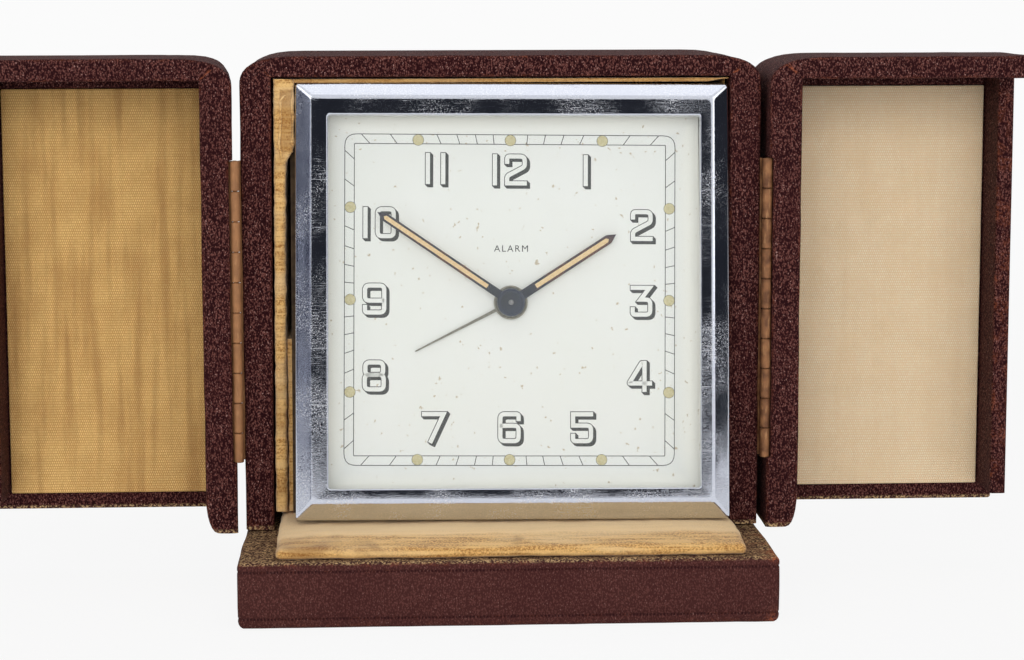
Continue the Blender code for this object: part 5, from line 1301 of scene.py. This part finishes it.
def make_pin(x, y, low, high):
    rings = [ring_at(radius, z, 16, x, y)
             for z, radius in ((low, PIN_END), (low + PIN_TAPER, PIN_RADIUS),
                               (high - PIN_TAPER, PIN_RADIUS), (high, PIN_END))]
    return skin("pin", rings, None, AGED_BRASS)


def make_hinge_leaf(side, door, leaf, body, odd):
    """Knuckles for one leaf by the row tree, and the strip that they are rolled from."""
    node, pin = door + "_hinge_" + leaf, door + "_hinge_pin"
    low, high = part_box(node)
    pin_low, pin_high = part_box(pin)
    foot, top = pin_low.z + HINGE_RISE, pin_high.z + HINGE_RISE
    x, y = (pin_low.x + pin_high.x) / 2, (pin_low.y + pin_high.y) / 2
    pitch = (top - foot) / KNUCKLES
    template = knuckle_mesh(pitch - HINGE_PLAY)
    mesh = grow(node + "_row", ROW_TREE, Count=KNUCKLES // 2,
                Start=(x, y, foot + odd * pitch + HINGE_PLAY / 2),
                Step=(0.0, 0.0, 2 * pitch), Piece=template, Material=AGED_BRASS)
    bpy.data.objects.remove(template)
    way = side if odd else -side
    near, far = sorted((x + way * LEAF_START, low.x if way < 0 else high.x))
    pieces = [new_piece(node + "_row", mesh, AGED_BRASS),
              bevelled(node + "_plate",
                       rectangle(near, far, foot + HINGE_PLAY, top - HINGE_PLAY),
                       high.y - LEAF_THICK, high.y, 0.06 * MM, AGED_BRASS, 2)]
    stands_for = [node]
    if not odd:
        pieces.append(make_pin(x, y, foot, top))
        stands_for.append(pin)
    settle(one_mesh(node + "_brass", pieces), body, "hinge_brass", *stands_for)


for side, door in ((-1, "left"), (1, "right")):
    make_hinge_leaf(side, door, "case_leaf", "case", 0)
    make_hinge_leaf(side, door, "door_leaf", door + "_door", 1)
print("hinges made")

# %% [markdown]
# ## The bezel
# A square frame pressed from sheet and chromed: a sloped border, a narrow flat, and an
# edge that turns in to hold the glass. Four straight sections meet in mitres, so it is a
# loft of squares with small round corners, one for each point of its profile. The inner
# squares sit a little higher and further right than the outer ones, as the bottom and left
# borders are the widest. Extra squares beside each rounding keep the slope and the flat
# truly flat, so that they mirror evenly.

# %% Bezel and glass
BEZEL_CORNER_PARTS = 5
BEZEL_TURN = math.radians(-0.38)    # it sits a little askew in the case
BEZEL_TALL = 0.20 * MM      # how much taller than wide each half is
BEZEL_PROFILE = (           # half, depth, corner radius, rise and sideways shift in mm
    (36.16, 3.20, .70, .16, .20), (36.16, 1.26, .70, .16, .20), (36.14, 1.13, .70, .16, .20),
    (36.08, 1.03, .68, .16, .20), (35.98, .945, .66, .17, .20), (35.86, .875, .66, .18, .20),
    (35.70, .797, .66, .20, .20), (34.80, .358, .70, .32, .20), (33.80, -.13, .80, .45, .19),
    (33.66, -.19, .85, .46, .18), (33.50, -.235, .90, .46, .18), (33.34, -.265, .90, .46, .18),
    (33.16, -.28, .90, .45, .18), (33.00, -.28, .90, .44, .20), (31.30, -.28, .46, .10, .46),
    (31.16, -.27, .46, .07, .50), (31.08, -.22, .46, .06, .51), (31.02, -.12, .46, .06, .51),
    (30.99, .05, .46, .06, .51), (30.97, .40, .46, .06, .51), (30.97, 1.38, .46, .06, .51),
    (32.30, 1.40, .60, 0.0, 0.0), (32.30, 3.20, .60, 0.0, 0.0))


def square_ring(half, corner, height, rise=0.0, shift=0.0, tall=0.0):
    """A square with round corners in the plane of the dial, anticlockwise."""
    ring = []
    reach = half - corner
    up = reach + tall
    for cx, cy, start in ((reach, -up, -90.0), (reach, up, 0.0),
                          (-reach, up, 90.0), (-reach, -up, 180.0)):
        ring += [Vector((cx + corner * math.cos(angle) + shift,
                         cy + corner * math.sin(angle) + rise, height))
                 for angle in turns(BEZEL_CORNER_PARTS, start)]
    return ring


def on_face(piece):
    """Put a piece drawn in the plane of the dial into the case."""
    piece.data.transform(FACE)
    piece.data.update()
    return piece


bezel_rings = [square_ring(half * MM, corner * MM, -depth * MM, rise * MM, shift * MM,
                           BEZEL_TALL if half > 33.5 and shift else 0.0)
               for half, depth, corner, rise, shift in BEZEL_PROFILE]
bezel = skin("bezel_chrome", bezel_rings, None, CHROME, closed=True)
bezel.data.transform(Matrix.Rotation(BEZEL_TURN, 4, "Z"))
settle(on_face(bezel), "case", "chrome", "bezel")

GLASS_HALF = 32.0 * MM
GLASS_FRONT = 1.5 * MM
GLASS_BACK = 2.5 * MM
GLASS_CHAMFER = 0.12 * MM
glass_rings = [square_ring(GLASS_HALF - inset, 0.8 * MM, -depth)
               for inset, depth in ((GLASS_CHAMFER, GLASS_FRONT),
                                    (0.0, GLASS_FRONT + GLASS_CHAMFER),
                                    (0.0, GLASS_BACK - GLASS_CHAMFER),
                                    (GLASS_CHAMFER, GLASS_BACK))]
glass = skin("glass_pane", glass_rings, None, GLASS)
settle(on_face(glass), "case", "glass", "glass")
print("bezel", len(bezel.data.polygons), "faces")

# %% [markdown]
# ## Print: lines as ribbons
# Everything printed on the dial is a line of even width, so it is drawn as a ribbon: the
# path of the pen, offset to both sides with mitred corners, and given the thickness of a
# film of ink. Rounded corners are short arcs put into the path first.

# %% Ribbon helpers
DIAL_TOP = -5.2 * MM        # height of the painted face in the plane of the dial
FILM = 0.012 * MM
DIAL_TURN = math.radians(-0.66)     # the dial sits a little askew behind the bezel
TRACK_SHIFT = Vector((-0.10, 0.42, 0.0)) * MM
FIGURE_SHIFT = Vector((0.05, 0.08, 0.0)) * MM
WORD_SHIFT = Vector((0.15, -0.09, 0.0)) * MM


def on_dial(piece, shift=TRACK_SHIFT):
    """Put a piece of print on the dial: turned with it, and shifted as it was printed."""
    piece.data.transform(Matrix.Rotation(DIAL_TURN, 4, "Z") @ Matrix.Translation(shift))
    return on_face(piece)


def with_arcs(points, radius, closed, parts=5):
    """Round the corners of a path. A point may carry its own share of the radius."""
    rounded = []
    count = len(points)
    for i, point in enumerate(points):
        here = Vector(point[:2])
        share = point[2] if len(point) > 2 else 1.0
        if not closed and i in (0, count - 1) or share == 0.0:
            rounded.append(here)
            continue
        before = Vector(points[i - 1][:2]) - here
        after = Vector(points[(i + 1) % count][:2]) - here
        turn = before.angle(after) / 2
        reach = min(radius * share / math.tan(turn), 0.49 * before.length,
                    0.49 * after.length)
        start = here + before.normalized() * reach
        end = here + after.normalized() * reach
        for part in range(parts + 1):
            t = part / parts
            rounded.append(start * (1 - t) ** 2 + here * 2 * t * (1 - t) + end * t * t)
    return rounded


def ribbon_sides(path, half, closed):
    count = len(path)
    left, right = [], []
    for i, here in enumerate(path):
        before = path[i - 1] if i or closed else None
        after = path[(i + 1) % count] if i < count - 1 or closed else None
        ways = []
        if before is not None:
            ways.append((here - before).normalized())
        if after is not None:
            ways.append((after - here).normalized())
        normals = [Vector((-w.y, w.x)) for w in ways]
        middle = sum(normals, Vector((0.0, 0.0))).normalized()
        reach = half / max(0.45, middle.dot(normals[0]))
        left.append(here + middle * reach)
        right.append(here - middle * reach)
    return left, right


def add_ribbon(bm, path, width, low, high, closed=False):
    """Add one closed solid ribbon to a mesh, in the plane of the dial."""
    left, right = ribbon_sides(path, width / 2, closed)
    rings = [[bm.verts.new((a.x, a.y, high)), bm.verts.new((b.x, b.y, high)),
              bm.verts.new((b.x, b.y, low)), bm.verts.new((a.x, a.y, low))]
             for a, b in zip(left, right)]
    pairs = list(zip(rings, rings[1:] + rings[:1])) if closed else list(zip(rings, rings[1:]))
    for first, second in pairs:
        for j in range(4):
            k = (j + 1) % 4
            bm.faces.new((first[j], second[j], second[k], first[k]))
    if not closed:
        bm.faces.new(rings[0])
        bm.faces.new(rings[-1][::-1])


def printed(name, ribbons, material, shift=TRACK_SHIFT):
    """A piece of print from ribbons: path, width, low, high and whether it is closed."""
    bm = bmesh.new()
    for path, width, low, high, closed in ribbons:
        add_ribbon(bm, path, width, low, high, closed)
    bmesh.ops.recalc_face_normals(bm, faces=bm.faces)
    return on_dial(new_piece(name, mesh_of(bm, name), material, 30.0), shift)


print("ribbon helpers ready")

# %% [markdown]
# ## The minute track
# Two square lines with sixty marks between them, one on each ray from the hands, and a
# luminous dot instead of a mark at every hour. Only the rays are equal steps: where they
# cross a square they spread towards the corners. A node tree works that out for each
# point: the reach of a ray is the half side over the larger of its two shares.

# %% Minute track
INNER_HALF = 26.2 * MM
LINE_WIDTH = 0.13 * MM
TRACK_CORNER = 2.0 * MM
DOT_HALF = 26.85 * MM
DOT_RADIUS = 0.90 * MM


def square_path(half):
    return [(-half, -half), (-half, half), (half, half), (half, -half)]


def make_track_tree():
    tree = new_tree("marks_round_a_square", Inner="Float", Outer="Float", Height="Float",
                    Hours="Bool", Mark="Object", Material="Material")
    given = put(tree, "NodeGroupInput").outputs
    line = put(tree, "GeometryNodeMeshLine", {"Count": 60})
    index = put(tree, "GeometryNodeInputIndex").outputs[0]
    angle = times(tree, index, math.radians(6.0))
    across = combine(tree, "SINE", angle, 0.0)
    up = combine(tree, "COSINE", angle, 0.0)
    larger = combine(tree, "MAXIMUM", combine(tree, "ABSOLUTE", across, 0.0),
                     combine(tree, "ABSOLUTE", up, 0.0))
    near = combine(tree, "DIVIDE", given["Inner"], larger)
    far = combine(tree, "DIVIDE", given["Outer"], larger)
    middle = times(tree, combine(tree, "ADD", near, far), 0.5)
    place = put(tree, "ShaderNodeCombineXYZ", {0: times(tree, across, middle),
                                               1: times(tree, up, middle),
                                               2: given["Height"]}).outputs[0]
    points = put(tree, "GeometryNodeSetPosition", {"Geometry": line.outputs[0],
                                                   "Position": place}).outputs[0]
    on_hour = put(tree, "FunctionNodeCompare", {0: combine(tree, "MODULO", index, 5.0),
                                                1: 0.5},
                  data_type="FLOAT", operation="LESS_THAN")
    same = put(tree, "FunctionNodeBooleanMath", {0: on_hour.outputs[0], 1: given["Hours"]},
               operation="XNOR").outputs[0]
    length = combine(tree, "MAXIMUM", combine(tree, "SUBTRACT", far, near), given["Hours"])
    size = put(tree, "ShaderNodeCombineXYZ", {0: 1.0, 1: length, 2: 1.0}).outputs[0]
    turn = put(tree, "ShaderNodeCombineXYZ", {2: times(tree, angle, -1.0)}).outputs[0]
    return set_out(tree, given, points, "Mark", Selection=same, Rotation=turn, Scale=size)


def unit_mark(width):
    """A flat bar one metre long, which the tree scales to the length of each mark."""
    bm = bmesh.new()
    add_ribbon(bm, [Vector((0.0, -0.5)), Vector((0.0, 0.5))], width, 0.0, FILM)
    bmesh.ops.recalc_face_normals(bm, faces=bm.faces)
    return new_piece("mark", mesh_of(bm, "mark"), INK)


def dome(radius, height):
    """A low round dome with a flat underside."""
    rings = []
    for share in (1.0, 0.96, 0.85, 0.6, 0.3, 0.05):
        lift = height * math.sqrt(max(0.0, 1 - share * share)) if share < 1.0 else 0.0
        rings.append(ring_at(radius * share, lift, 28))
    return skin("dome", rings, None, LUMINOUS)


TRACK_TREE = make_track_tree()
mark = unit_mark(LINE_WIDTH)
marks = grow("minute_marks", TRACK_TREE, Inner=INNER_HALF, Outer=TRACK_HALF,
             Height=DIAL_TOP, Hours=False, Mark=mark, Material=INK)
bpy.data.objects.remove(mark)
minute_marks = on_dial(new_piece("minute_marks", marks, INK))
settle(minute_marks, "case", "dial")

for name, radius, height, material, rest in (
        ("dot_outlines", DOT_RADIUS + 0.06 * MM, 0.02 * MM, INK, 0.0),
        ("luminous_dots", DOT_RADIUS, 0.09 * MM, LUMINOUS, FILM)):
    dot = dome(radius, height)
    mesh = grow(name, TRACK_TREE, Inner=DOT_HALF, Outer=DOT_HALF, Height=DIAL_TOP + rest,
                Hours=True, Mark=dot, Material=material)
    bpy.data.objects.remove(dot)
    settle(on_dial(new_piece(name, mesh, material)), "case", "dial")

track_lines = printed("track_lines", [
    (with_arcs(square_path(half), corner, True, parts), LINE_WIDTH, DIAL_TOP,
     DIAL_TOP + FILM, True)
    for half, corner, parts in ((TRACK_HALF, TRACK_CORNER, 5), (INNER_HALF, 0.1 * MM, 1))],
                      INK)
settle(track_lines, "case", "dial")
print("track: minute marks", len(minute_marks.data.polygons) // 6)

# %% [markdown]
# ## The numerals
# Block numerals with a thin outline and a solid shade to the lower right, as if cut from
# thick sheet. Each digit is one pen path in a box of 1 by 1. Three layers make it: the
# shade, a black ribbon moved in small steps, then the black outline, then a narrower
# ribbon in the colour of the dial.

# %% Numerals
DIGIT_HEIGHT = 5.50 * MM
PEN = 0.98 * MM
OUTLINE = 0.13 * MM
SHADE_STEPS = 5
SHADE = Vector((0.42, -0.42)) * MM
DIGIT_CORNER = 0.75 * MM

DIGIT_PATHS = {             # points in a 1 by 1 box, with the share of the corner radius
    "0": [([(0, 0), (0, 1), (1, 1), (1, 0)], True)],
    "1": [([(0, 0), (0, 1)], False)],
    "2": [([(0, 0.80), (0, 1), (1, 1), (1, 0.62), (0, 0.27), (0, 0, 0), (1, 0)], False)],
    "3": [([(0, 1), (0.96, 1, 0), (0.45, 0.56, 0), (1, 0.56), (1, 0), (0, 0), (0, 0.20)],
           False)],
    "4": [([(1, 0.24), (0, 0.24, 0.2), (0.60, 1, 0.2), (0.74, 1, 0), (0.74, 0)], False)],
    "5": [([(1, 1), (0, 1, 0), (0, 0.58, 0), (1, 0.58), (1, 0), (0, 0), (0, 0.20)], False)],
    "6": [([(1, 0.82), (1, 1), (0, 1), (0, 0), (1, 0), (1, 0.57), (0.1, 0.57)], False)],
    "7": [([(0, 1), (1, 1, 0), (0.36, 0)], False)],
    "8": [([(0.03, 0.54), (0.03, 1), (0.97, 1), (0.97, 0.54)], True),
          ([(0, 0), (0, 0.54), (1, 0.54), (1, 0)], True)],
    "9": [([(0.9, 0.44), (0, 0.44), (0, 1), (1, 1), (1, 0), (0, 0), (0, 0.20)], False)],
}
NUMERALS = (                # digit, left edge and top edge on the dial, width, in mm
    ("1", -3.25, 25.00, 0.0), ("2", -1.19, 25.00, 3.95), ("1", 12.06, 24.95, 0.0),
    ("2", 20.08, 15.75, 3.95), ("3", 20.05, 2.98, 3.95), ("4", 19.48, -9.70, 4.50),
    ("5", 10.04, -18.35, 4.00), ("6", -2.22, -18.35, 4.05), ("7", -15.04, -18.35, 4.25),
    ("8", -25.0, -9.70, 4.15), ("9", -25.0, 3.20, 4.20), ("1", -24.96, 16.02, 0.0),
    ("0", -22.90, 16.02, 3.65), ("1", -14.52, 25.15, 0.0), ("1", -11.94, 25.15, 0.0))


def digit_paths(digit, left, top, width):
    """Pen paths of a digit on the dial, its corners rounded."""
    inset = PEN / 2
    wide = max(width * MM - PEN, 0.0)
    tall = DIGIT_HEIGHT - PEN if digit != "1" else DIGIT_HEIGHT
    lift = inset if digit != "1" else 0.0
    base = Vector((left * MM + inset, top * MM - DIGIT_HEIGHT + lift))
    for points, closed in DIGIT_PATHS[digit]:
        placed = [(base.x + p[0] * wide, base.y + p[1] * tall) + tuple(p[2:])
                  for p in points]
        yield with_arcs(placed, DIGIT_CORNER, closed), closed


def lengthened(path, closed, extra):
    """Push the two ends of an open path out, so that a wider ribbon shows round them."""
    if closed:
        return path
    start = path[0] + (path[0] - path[1]).normalized() * extra
    end = path[-1] + (path[-1] - path[-2]).normalized() * extra
    return [start] + path[1:-1] + [end]


shades, outlines, faces = [], [], []
SHADE_TOP = DIAL_TOP + FILM
for digit, left, top, width in NUMERALS:
    for path, closed in digit_paths(digit, left, top, width):
        open_ends = 0.0 if digit == "1" else PEN / 2
        whole = lengthened(path, closed, open_ends)
        inner = lengthened(path, closed, open_ends - OUTLINE)
        for step in range(1, SHADE_STEPS + 1):
            moved = [p + SHADE * step / SHADE_STEPS for p in whole]
            shades.append((moved, PEN, DIAL_TOP, SHADE_TOP - step * FILM / 20, closed))
        outlines.append((whole, PEN, DIAL_TOP, SHADE_TOP + FILM / 2, closed))
        faces.append((inner, PEN - 2 * OUTLINE, DIAL_TOP, SHADE_TOP + FILM, closed))
settle(printed("numeral_shades", shades + outlines, INK, FIGURE_SHIFT), "case", "dial")
settle(printed("numeral_faces", faces, NUMERAL_FACE, FIGURE_SHIFT), "case", "dial")
print("numerals", len(NUMERALS), "digits")

# %% [markdown]
# ## The word on the dial
# Above the hands the dial says ALARM, in small plain capitals with wide gaps. A text
# object draws it, and it becomes a mesh before it is moved into the plane of the dial.

# %% Word
WORD_HEIGHT = 1.1 * MM
WORD_PLACE = Vector((-0.05, 8.65)) * MM
CAPITAL_SHARE = 0.70        # of the size of the type is the height of a capital


def make_word(text, height, place, spacing):
    curve = bpy.data.curves.new("word", "FONT")
    curve.body = text
    curve.align_x = "CENTER"
    curve.size = height / CAPITAL_SHARE
    curve.space_character = spacing
    curve.extrude = FILM / 2
    curve.resolution_u = 3
    holder = bpy.data.objects.new("word", curve)
    COLLECTION.objects.link(holder)
    mesh = mesh_from(holder)
    mesh.transform(Matrix.Translation((place.x, place.y, DIAL_TOP + FILM / 2)))
    return on_dial(new_piece("word_alarm", mesh, INK, 20.0), WORD_SHIFT)


word = make_word("ALARM", WORD_HEIGHT, WORD_PLACE, 1.25)
settle(word, "case", "dial")
print("word width in mm", round((max(v.co.x for v in word.data.vertices)
                                 - min(v.co.x for v in word.data.vertices)) / MM, 2))

# %% [markdown]
# ## Hands
# The two hands are stamped from thin blued steel with a slot down the middle, filled with
# luminous paint. Each frame is a flat curve with holes and a small bevel, drawn upright
# and turned to its hour. The alarm hand is a thin grey needle.

# %% Hands
HAND_TURNS = {"minute": 304.5, "hour": 57.6, "alarm": 243.4}    # degrees past twelve
# Length, width, slot width, slot start and end, radius of boss and bore, and the depths of
# front and back below the front of the bezel, in mm.
FILLED_HANDS = (
    ("minute", 27.0, 1.42, 0.70, 4.75, 25.7, 2.05, 0.45, 3.1, 3.4),
    ("hour", 21.1, 1.58, 0.76, 5.0, 19.6, 2.34, 1.0, 3.8, 4.1))
HAND_EDGE = 0.045 * MM
ARROW_POINT = 1.5 * MM
FILL_RISE = 0.01 * MM       # the paint stands a hair above the steel
FILL_EDGE = 0.03 * MM
NEEDLE_TIP = 18.1 * MM
NEEDLE_REACH = 17.9 * MM
NEEDLE_FOOT = 2.7 * MM
NEEDLE_END = 0.12 * MM      # half width at the end
NEEDLE_ROOT = 0.27 * MM     # half width at the boss
NEEDLE_BOSS = 2.84 * MM
NEEDLE_BORE = 1.7 * MM
ROOT_ANGLE = 0.11           # in radians, how far the root reaches round the boss


def plate(name, outlines, low, high, edge, material, turn=0.0):
    """A flat plate with holes and softened edges in the plane of the dial."""
    curve = bpy.data.curves.new(name, "CURVE")
    curve.dimensions = "2D"
    curve.fill_mode = "BOTH"
    curve.extrude = (high - low) / 2 - edge
    curve.bevel_depth = edge
    curve.bevel_resolution = 2
    curve.offset = -edge
    for outline in outlines:
        spline = curve.splines.new("POLY")
        spline.points.add(len(outline) - 1)
        for point, (x, y) in zip(spline.points, outline):
            point.co = (x, y, 0.0, 1.0)
        spline.use_cyclic_u = True
    holder = bpy.data.objects.new(name, curve)
    COLLECTION.objects.link(holder)
    mesh = cleaned(mesh_from(holder), 0.001 * MM)
    mesh.transform(Matrix.Rotation(-turn, 4, "Z")
                   @ Matrix.Translation((0.0, 0.0, (low + high) / 2)))
    return new_piece(name, mesh, material, 35.0)


def circle(radius, sides):
    return [(radius * math.sin(angle), radius * math.cos(angle))
            for angle in turns(sides, 0.0, 360.0)[:-1]]


def hand_outline(length, width, point, boss):
    """A straight hand with an arrow point, growing out of a round boss."""
    half = width / 2
    edge = math.asin(half / boss)
    return [(-half, length - point), (0.0, length), (half, length - point)] + [
        (boss * math.sin(edge + angle), boss * math.cos(edge + angle))
        for angle in turns(30, 0.0, 360.0 - 2 * math.degrees(edge))]


def slot_outline(start, end, width):
    half = width / 2
    return [(-half, start), (-half, end - half), (0.0, end), (half, end - half),
            (half, start)]


for name, *sizes in FILLED_HANDS:
    length, width, slot_width, first, last, boss, bore, front, back = (s * MM for s in sizes)
    slot = slot_outline(first, last, slot_width)
    turn = math.radians(HAND_TURNS[name])
    steel = plate(name + "_steel", [hand_outline(length, width, ARROW_POINT, boss), slot,
                                    circle(bore, 24)],
                  -back, -front, HAND_EDGE, HAND_STEEL, turn)
    settle(on_face(steel), name + "_group", "blued", name + "_hand")
    filling = plate(name + "_filling", [slot], -back, -front + FILL_RISE, FILL_EDGE,
                    HAND_FILL, turn)
    settle(on_face(filling), name + "_group", "blued")

needle = [(-NEEDLE_END, NEEDLE_REACH), (0.0, NEEDLE_TIP), (NEEDLE_END, NEEDLE_REACH),
          (NEEDLE_ROOT, NEEDLE_FOOT)]
needle += [(NEEDLE_BOSS * math.sin(a), NEEDLE_BOSS * math.cos(a))
           for a in [ROOT_ANGLE + (2 * math.pi - 2 * ROOT_ANGLE) * i / 36 for i in range(37)]]
needle += [(-NEEDLE_ROOT, NEEDLE_FOOT)]
alarm_hand = plate("alarm_needle", [needle, circle(NEEDLE_BORE, 32)], -4.8 * MM, -4.5 * MM,
                   HAND_EDGE, GREY_STEEL, math.radians(HAND_TURNS["alarm"]))
settle(on_face(alarm_hand), "alarm_group", "steel", "alarm_hand")
print("hands made")

# %% [markdown]
# ## The hub
# Seen from the front the hub is rings within rings: the grey boss of the alarm hand, the
# blued boss of the hands with a turned rim, a dark hollow, and the bright end of the
# centre arbor. Turned shapes are a profile spun round the axis.

# %% Hub
def turned(name, profile, material, sides=48, smooth_angle=30.0):
    """Spin a closed profile, in mm, round the axis of the hands."""
    rings = spun([(r * MM, h * MM) for r, h in profile], sides)
    return on_face(skin(name, rings, None, material, closed=True, smooth_angle=smooth_angle))


hub_rim = turned("hub_rim", [(1.55, -3.42), (1.72, -3.20), (1.78, -3.02), (1.92, -2.96),
                             (2.16, -2.98), (2.30, -3.06), (2.34, -3.18), (2.34, -3.42)],
                 HAND_STEEL)
settle(hub_rim, "minute_group", "blued")
hub_hollow = turned("hub_hollow", [(0.47, -3.40), (0.47, -3.20), (0.62, -3.16), (1.30, -3.20),
                                   (1.52, -3.24), (1.60, -3.40)], INK)
settle(hub_hollow, "minute_group", "blued")
alarm_ring = turned("alarm_ring", [(2.45, -4.52), (2.50, -4.34), (2.62, -4.28), (2.76, -4.32),
                                   (2.85, -4.42), (2.85, -4.52)], GREY_STEEL)
settle(alarm_ring, "alarm_group", "steel")
pin = turned("arbor_tip", [(0.02, -3.30), (0.30, -3.30), (0.32, -2.85), (0.27, -2.76),
                           (0.15, -2.72), (0.02, -2.71)], STEEL, 24, 50.0)
settle(pin, "minute_group", "steel")
print("hub made")

# %% [markdown]
# ## Finishes for the rest
# The movement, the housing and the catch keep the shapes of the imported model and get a
# finish each. Keys, knobs and the rear cover show when the back door is open.

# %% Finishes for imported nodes
PACKED_FINISHES = (
    (DIAL_PAINT, "dial"), (BOARD, "seat_frame"), (TIN, "clock_housing rear_cover"),
    (AGED_BRASS, "catch_stud catch_socket back_door_knob back_hinge_case_leaf"
                 " back_hinge_door_leaf back_hinge_pin"),
    (BRASS, "front_plate back_plate centre_wheel third_wheel fourth_wheel balance_wheel"
            " time_barrel alarm_barrel hour_wheel minute_wheel alarm_wheel strike_wheel"
            " time_key alarm_key time_set_knob alarm_set_knob alarm_stop_button"))
NODE_FINISHES = {name: finish for finish, names in PACKED_FINISHES for name in names.split()}
for name, node_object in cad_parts.items():
    if not node_object.hide_render:
        node_object.data.materials.clear()
        node_object.data.materials.append(NODE_FINISHES.get(name, STEEL))
print("finishes on packed nodes", len(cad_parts))

# %% [markdown]
# ## Stage and light
# The clock stands on a white table in soft light. The table is a large pale plane that
# turns pure white towards the distance, where only the camera and mirrors see it so, and
# the world behind it is white too.

# %% Floor and world
FLOOR_SIZE = 12.0
WHITE_FROM = 0.26           # distance from the clock where the table starts to turn white
WHITE_AT = 0.70
NEAR_GLOW = 0.93            # share of the table that already looks white near the clock
WHITE = 0.965

floor_mesh = bpy.data.meshes.new("floor")
floor_mesh.from_pydata([(-FLOOR_SIZE, -FLOOR_SIZE, 0.0), (FLOOR_SIZE, -FLOOR_SIZE, 0.0),
                        (FLOOR_SIZE, FLOOR_SIZE, 0.0), (-FLOOR_SIZE, FLOOR_SIZE, 0.0)],
                       [], [(0, 1, 2, 3)])
floor = bpy.data.objects.new("floor", floor_mesh)
COLLECTION.objects.link(floor)


def seen_rays(tree):
    """1 for what the camera and mirrors see, 0 for the light that a surface receives."""
    path = put(tree, "ShaderNodeLightPath").outputs
    return combine(tree, "MAXIMUM", path["Is Camera Ray"],
                   combine(tree, "MAXIMUM", path["Is Glossy Ray"],
                           path["Is Transmission Ray"]))


def make_table():
    material, tree, shader, place = new_finish("white_table", 0.7, 0.0, 0.1)
    shader.inputs["Base Color"].default_value = (0.93, 0.93, 0.93, 1.0)
    glow = put(tree, "ShaderNodeEmission", {"Color": (1.0, 1.0, 1.0, 1.0), "Strength": WHITE})
    reach = put(tree, "ShaderNodeVectorMath", {0: place}, operation="LENGTH").outputs["Value"]
    far = remap(tree, reach, WHITE_FROM, WHITE_AT, NEAR_GLOW, 1.0)
    share = times(tree, far, seen_rays(tree))
    blended = put(tree, "ShaderNodeMixShader", {0: share, 1: shader.outputs[0],
                                                2: glow.outputs[0]})
    tree.links.new(blended.outputs[0], tree.nodes["Material Output"].inputs["Surface"])
    return material


floor_mesh.materials.append(make_table())

WORLD_LIGHT = 0.36
world = bpy.data.worlds.new("studio")
bpy.context.scene.world = world
world.use_nodes = True
world_tree = world.node_tree
background = world_tree.nodes["Background"]
background.inputs["Color"].default_value = (1.0, 1.0, 1.0, 1.0)
world_tree.links.new(remap(world_tree, seen_rays(world_tree), 0.0, 1.0, WORLD_LIGHT, WHITE),
                     background.inputs["Strength"])
print("table and world ready")

# %% [markdown]
# ## Lamps and cards
# Soft boxes give light without hard shadows. Those that would burn out the chrome are kept
# out of mirrors. The cards stand where each border of the bezel looks: one before the
# clock, one at each side. The left one has pale upright folds, because in the photograph
# the left slope mirrors streaks.

# %% Lamps and dark cards
MIDDLE = Vector((0.0, 0.0, 0.05))


def soft_box(name, place, width, height, power, in_mirrors=True):
    data = bpy.data.lights.new(name, "AREA")
    data.shape = "RECTANGLE"
    data.size = width
    data.size_y = height
    data.energy = power
    lamp = bpy.data.objects.new(name, data)
    COLLECTION.objects.link(lamp)
    lamp.location = place
    lamp.rotation_euler = (MIDDLE - Vector(place)).to_track_quat("-Z", "Y").to_euler()
    lamp.visible_glossy = in_mirrors


# Two share the place above, so that the top slope of the bezel mirrors half their light.
soft_box("soft_box_above", (0.0, -0.05, 0.85), 1.1, 0.85, 1.0)
soft_box("soft_box_high", (0.0, -0.05, 0.90), 1.1, 0.85, 1.0, False)
soft_box("soft_box_left", (-0.55, -0.75, 0.45), 0.4, 0.5, 0.8)
soft_box("soft_box_right", (0.60, -0.70, 0.40), 0.35, 0.5, 0.6)
soft_box("soft_box_front", (-0.05, -1.00, 0.30), 0.8, 0.6, 4.6, False)

card_finish, card_tree, card_shader, card_place = new_finish("dark_card", 0.9)
folds = cloud(card_tree, stretched(card_tree, card_place, (34.0, 34.0, 3.5)), 1.0, 4.0, 1.2)
card_tree.links.new(mix(card_tree, remap(card_tree, folds, 0.50, 0.56, 0.0, 1.0),
                        tint(8, 20, 52), tint(214, 218, 232)),
                    card_shader.inputs["Base Color"])
black_finish, _, black_shader, _ = new_finish("black_card", 0.9)
black_shader.inputs["Base Color"].default_value = tint(20, 24, 34)


def dark_card(name, place, facing, width, height, finish):
    """A card that only mirror rays see, upright, facing along a direction."""
    bm = bmesh.new()
    bmesh.ops.create_grid(bm, x_segments=1, y_segments=1, size=0.5)
    bmesh.ops.scale(bm, vec=(width, height, 1.0), verts=bm.verts)
    turn = Vector(facing).to_track_quat("Z", "Y").to_matrix().to_4x4()
    bmesh.ops.transform(bm, matrix=Matrix.Translation(place) @ turn, verts=bm.verts)
    card = bpy.data.objects.new(name, mesh_of(bm, name))
    COLLECTION.objects.link(card)
    card.data.materials.append(finish)
    for ray in ("camera", "diffuse", "shadow", "transmission"):
        setattr(card, "visible_" + ray, False)


dark_card("card_front", (-0.17, -0.95, 0.3175), (0.0, 1.0, 0.0), 0.76, 0.425, black_finish)
dark_card("card_left", (-0.63, -0.42, 0.20), (0.83, 0.57, 0.0), 0.74, 0.36, card_finish)
dark_card("card_right", (0.66, -0.36, 0.20), (-0.87, 0.49, 0.0), 0.50, 0.36, black_finish)
bpy.context.scene.view_settings.view_transform = "Standard"
print("stage set")
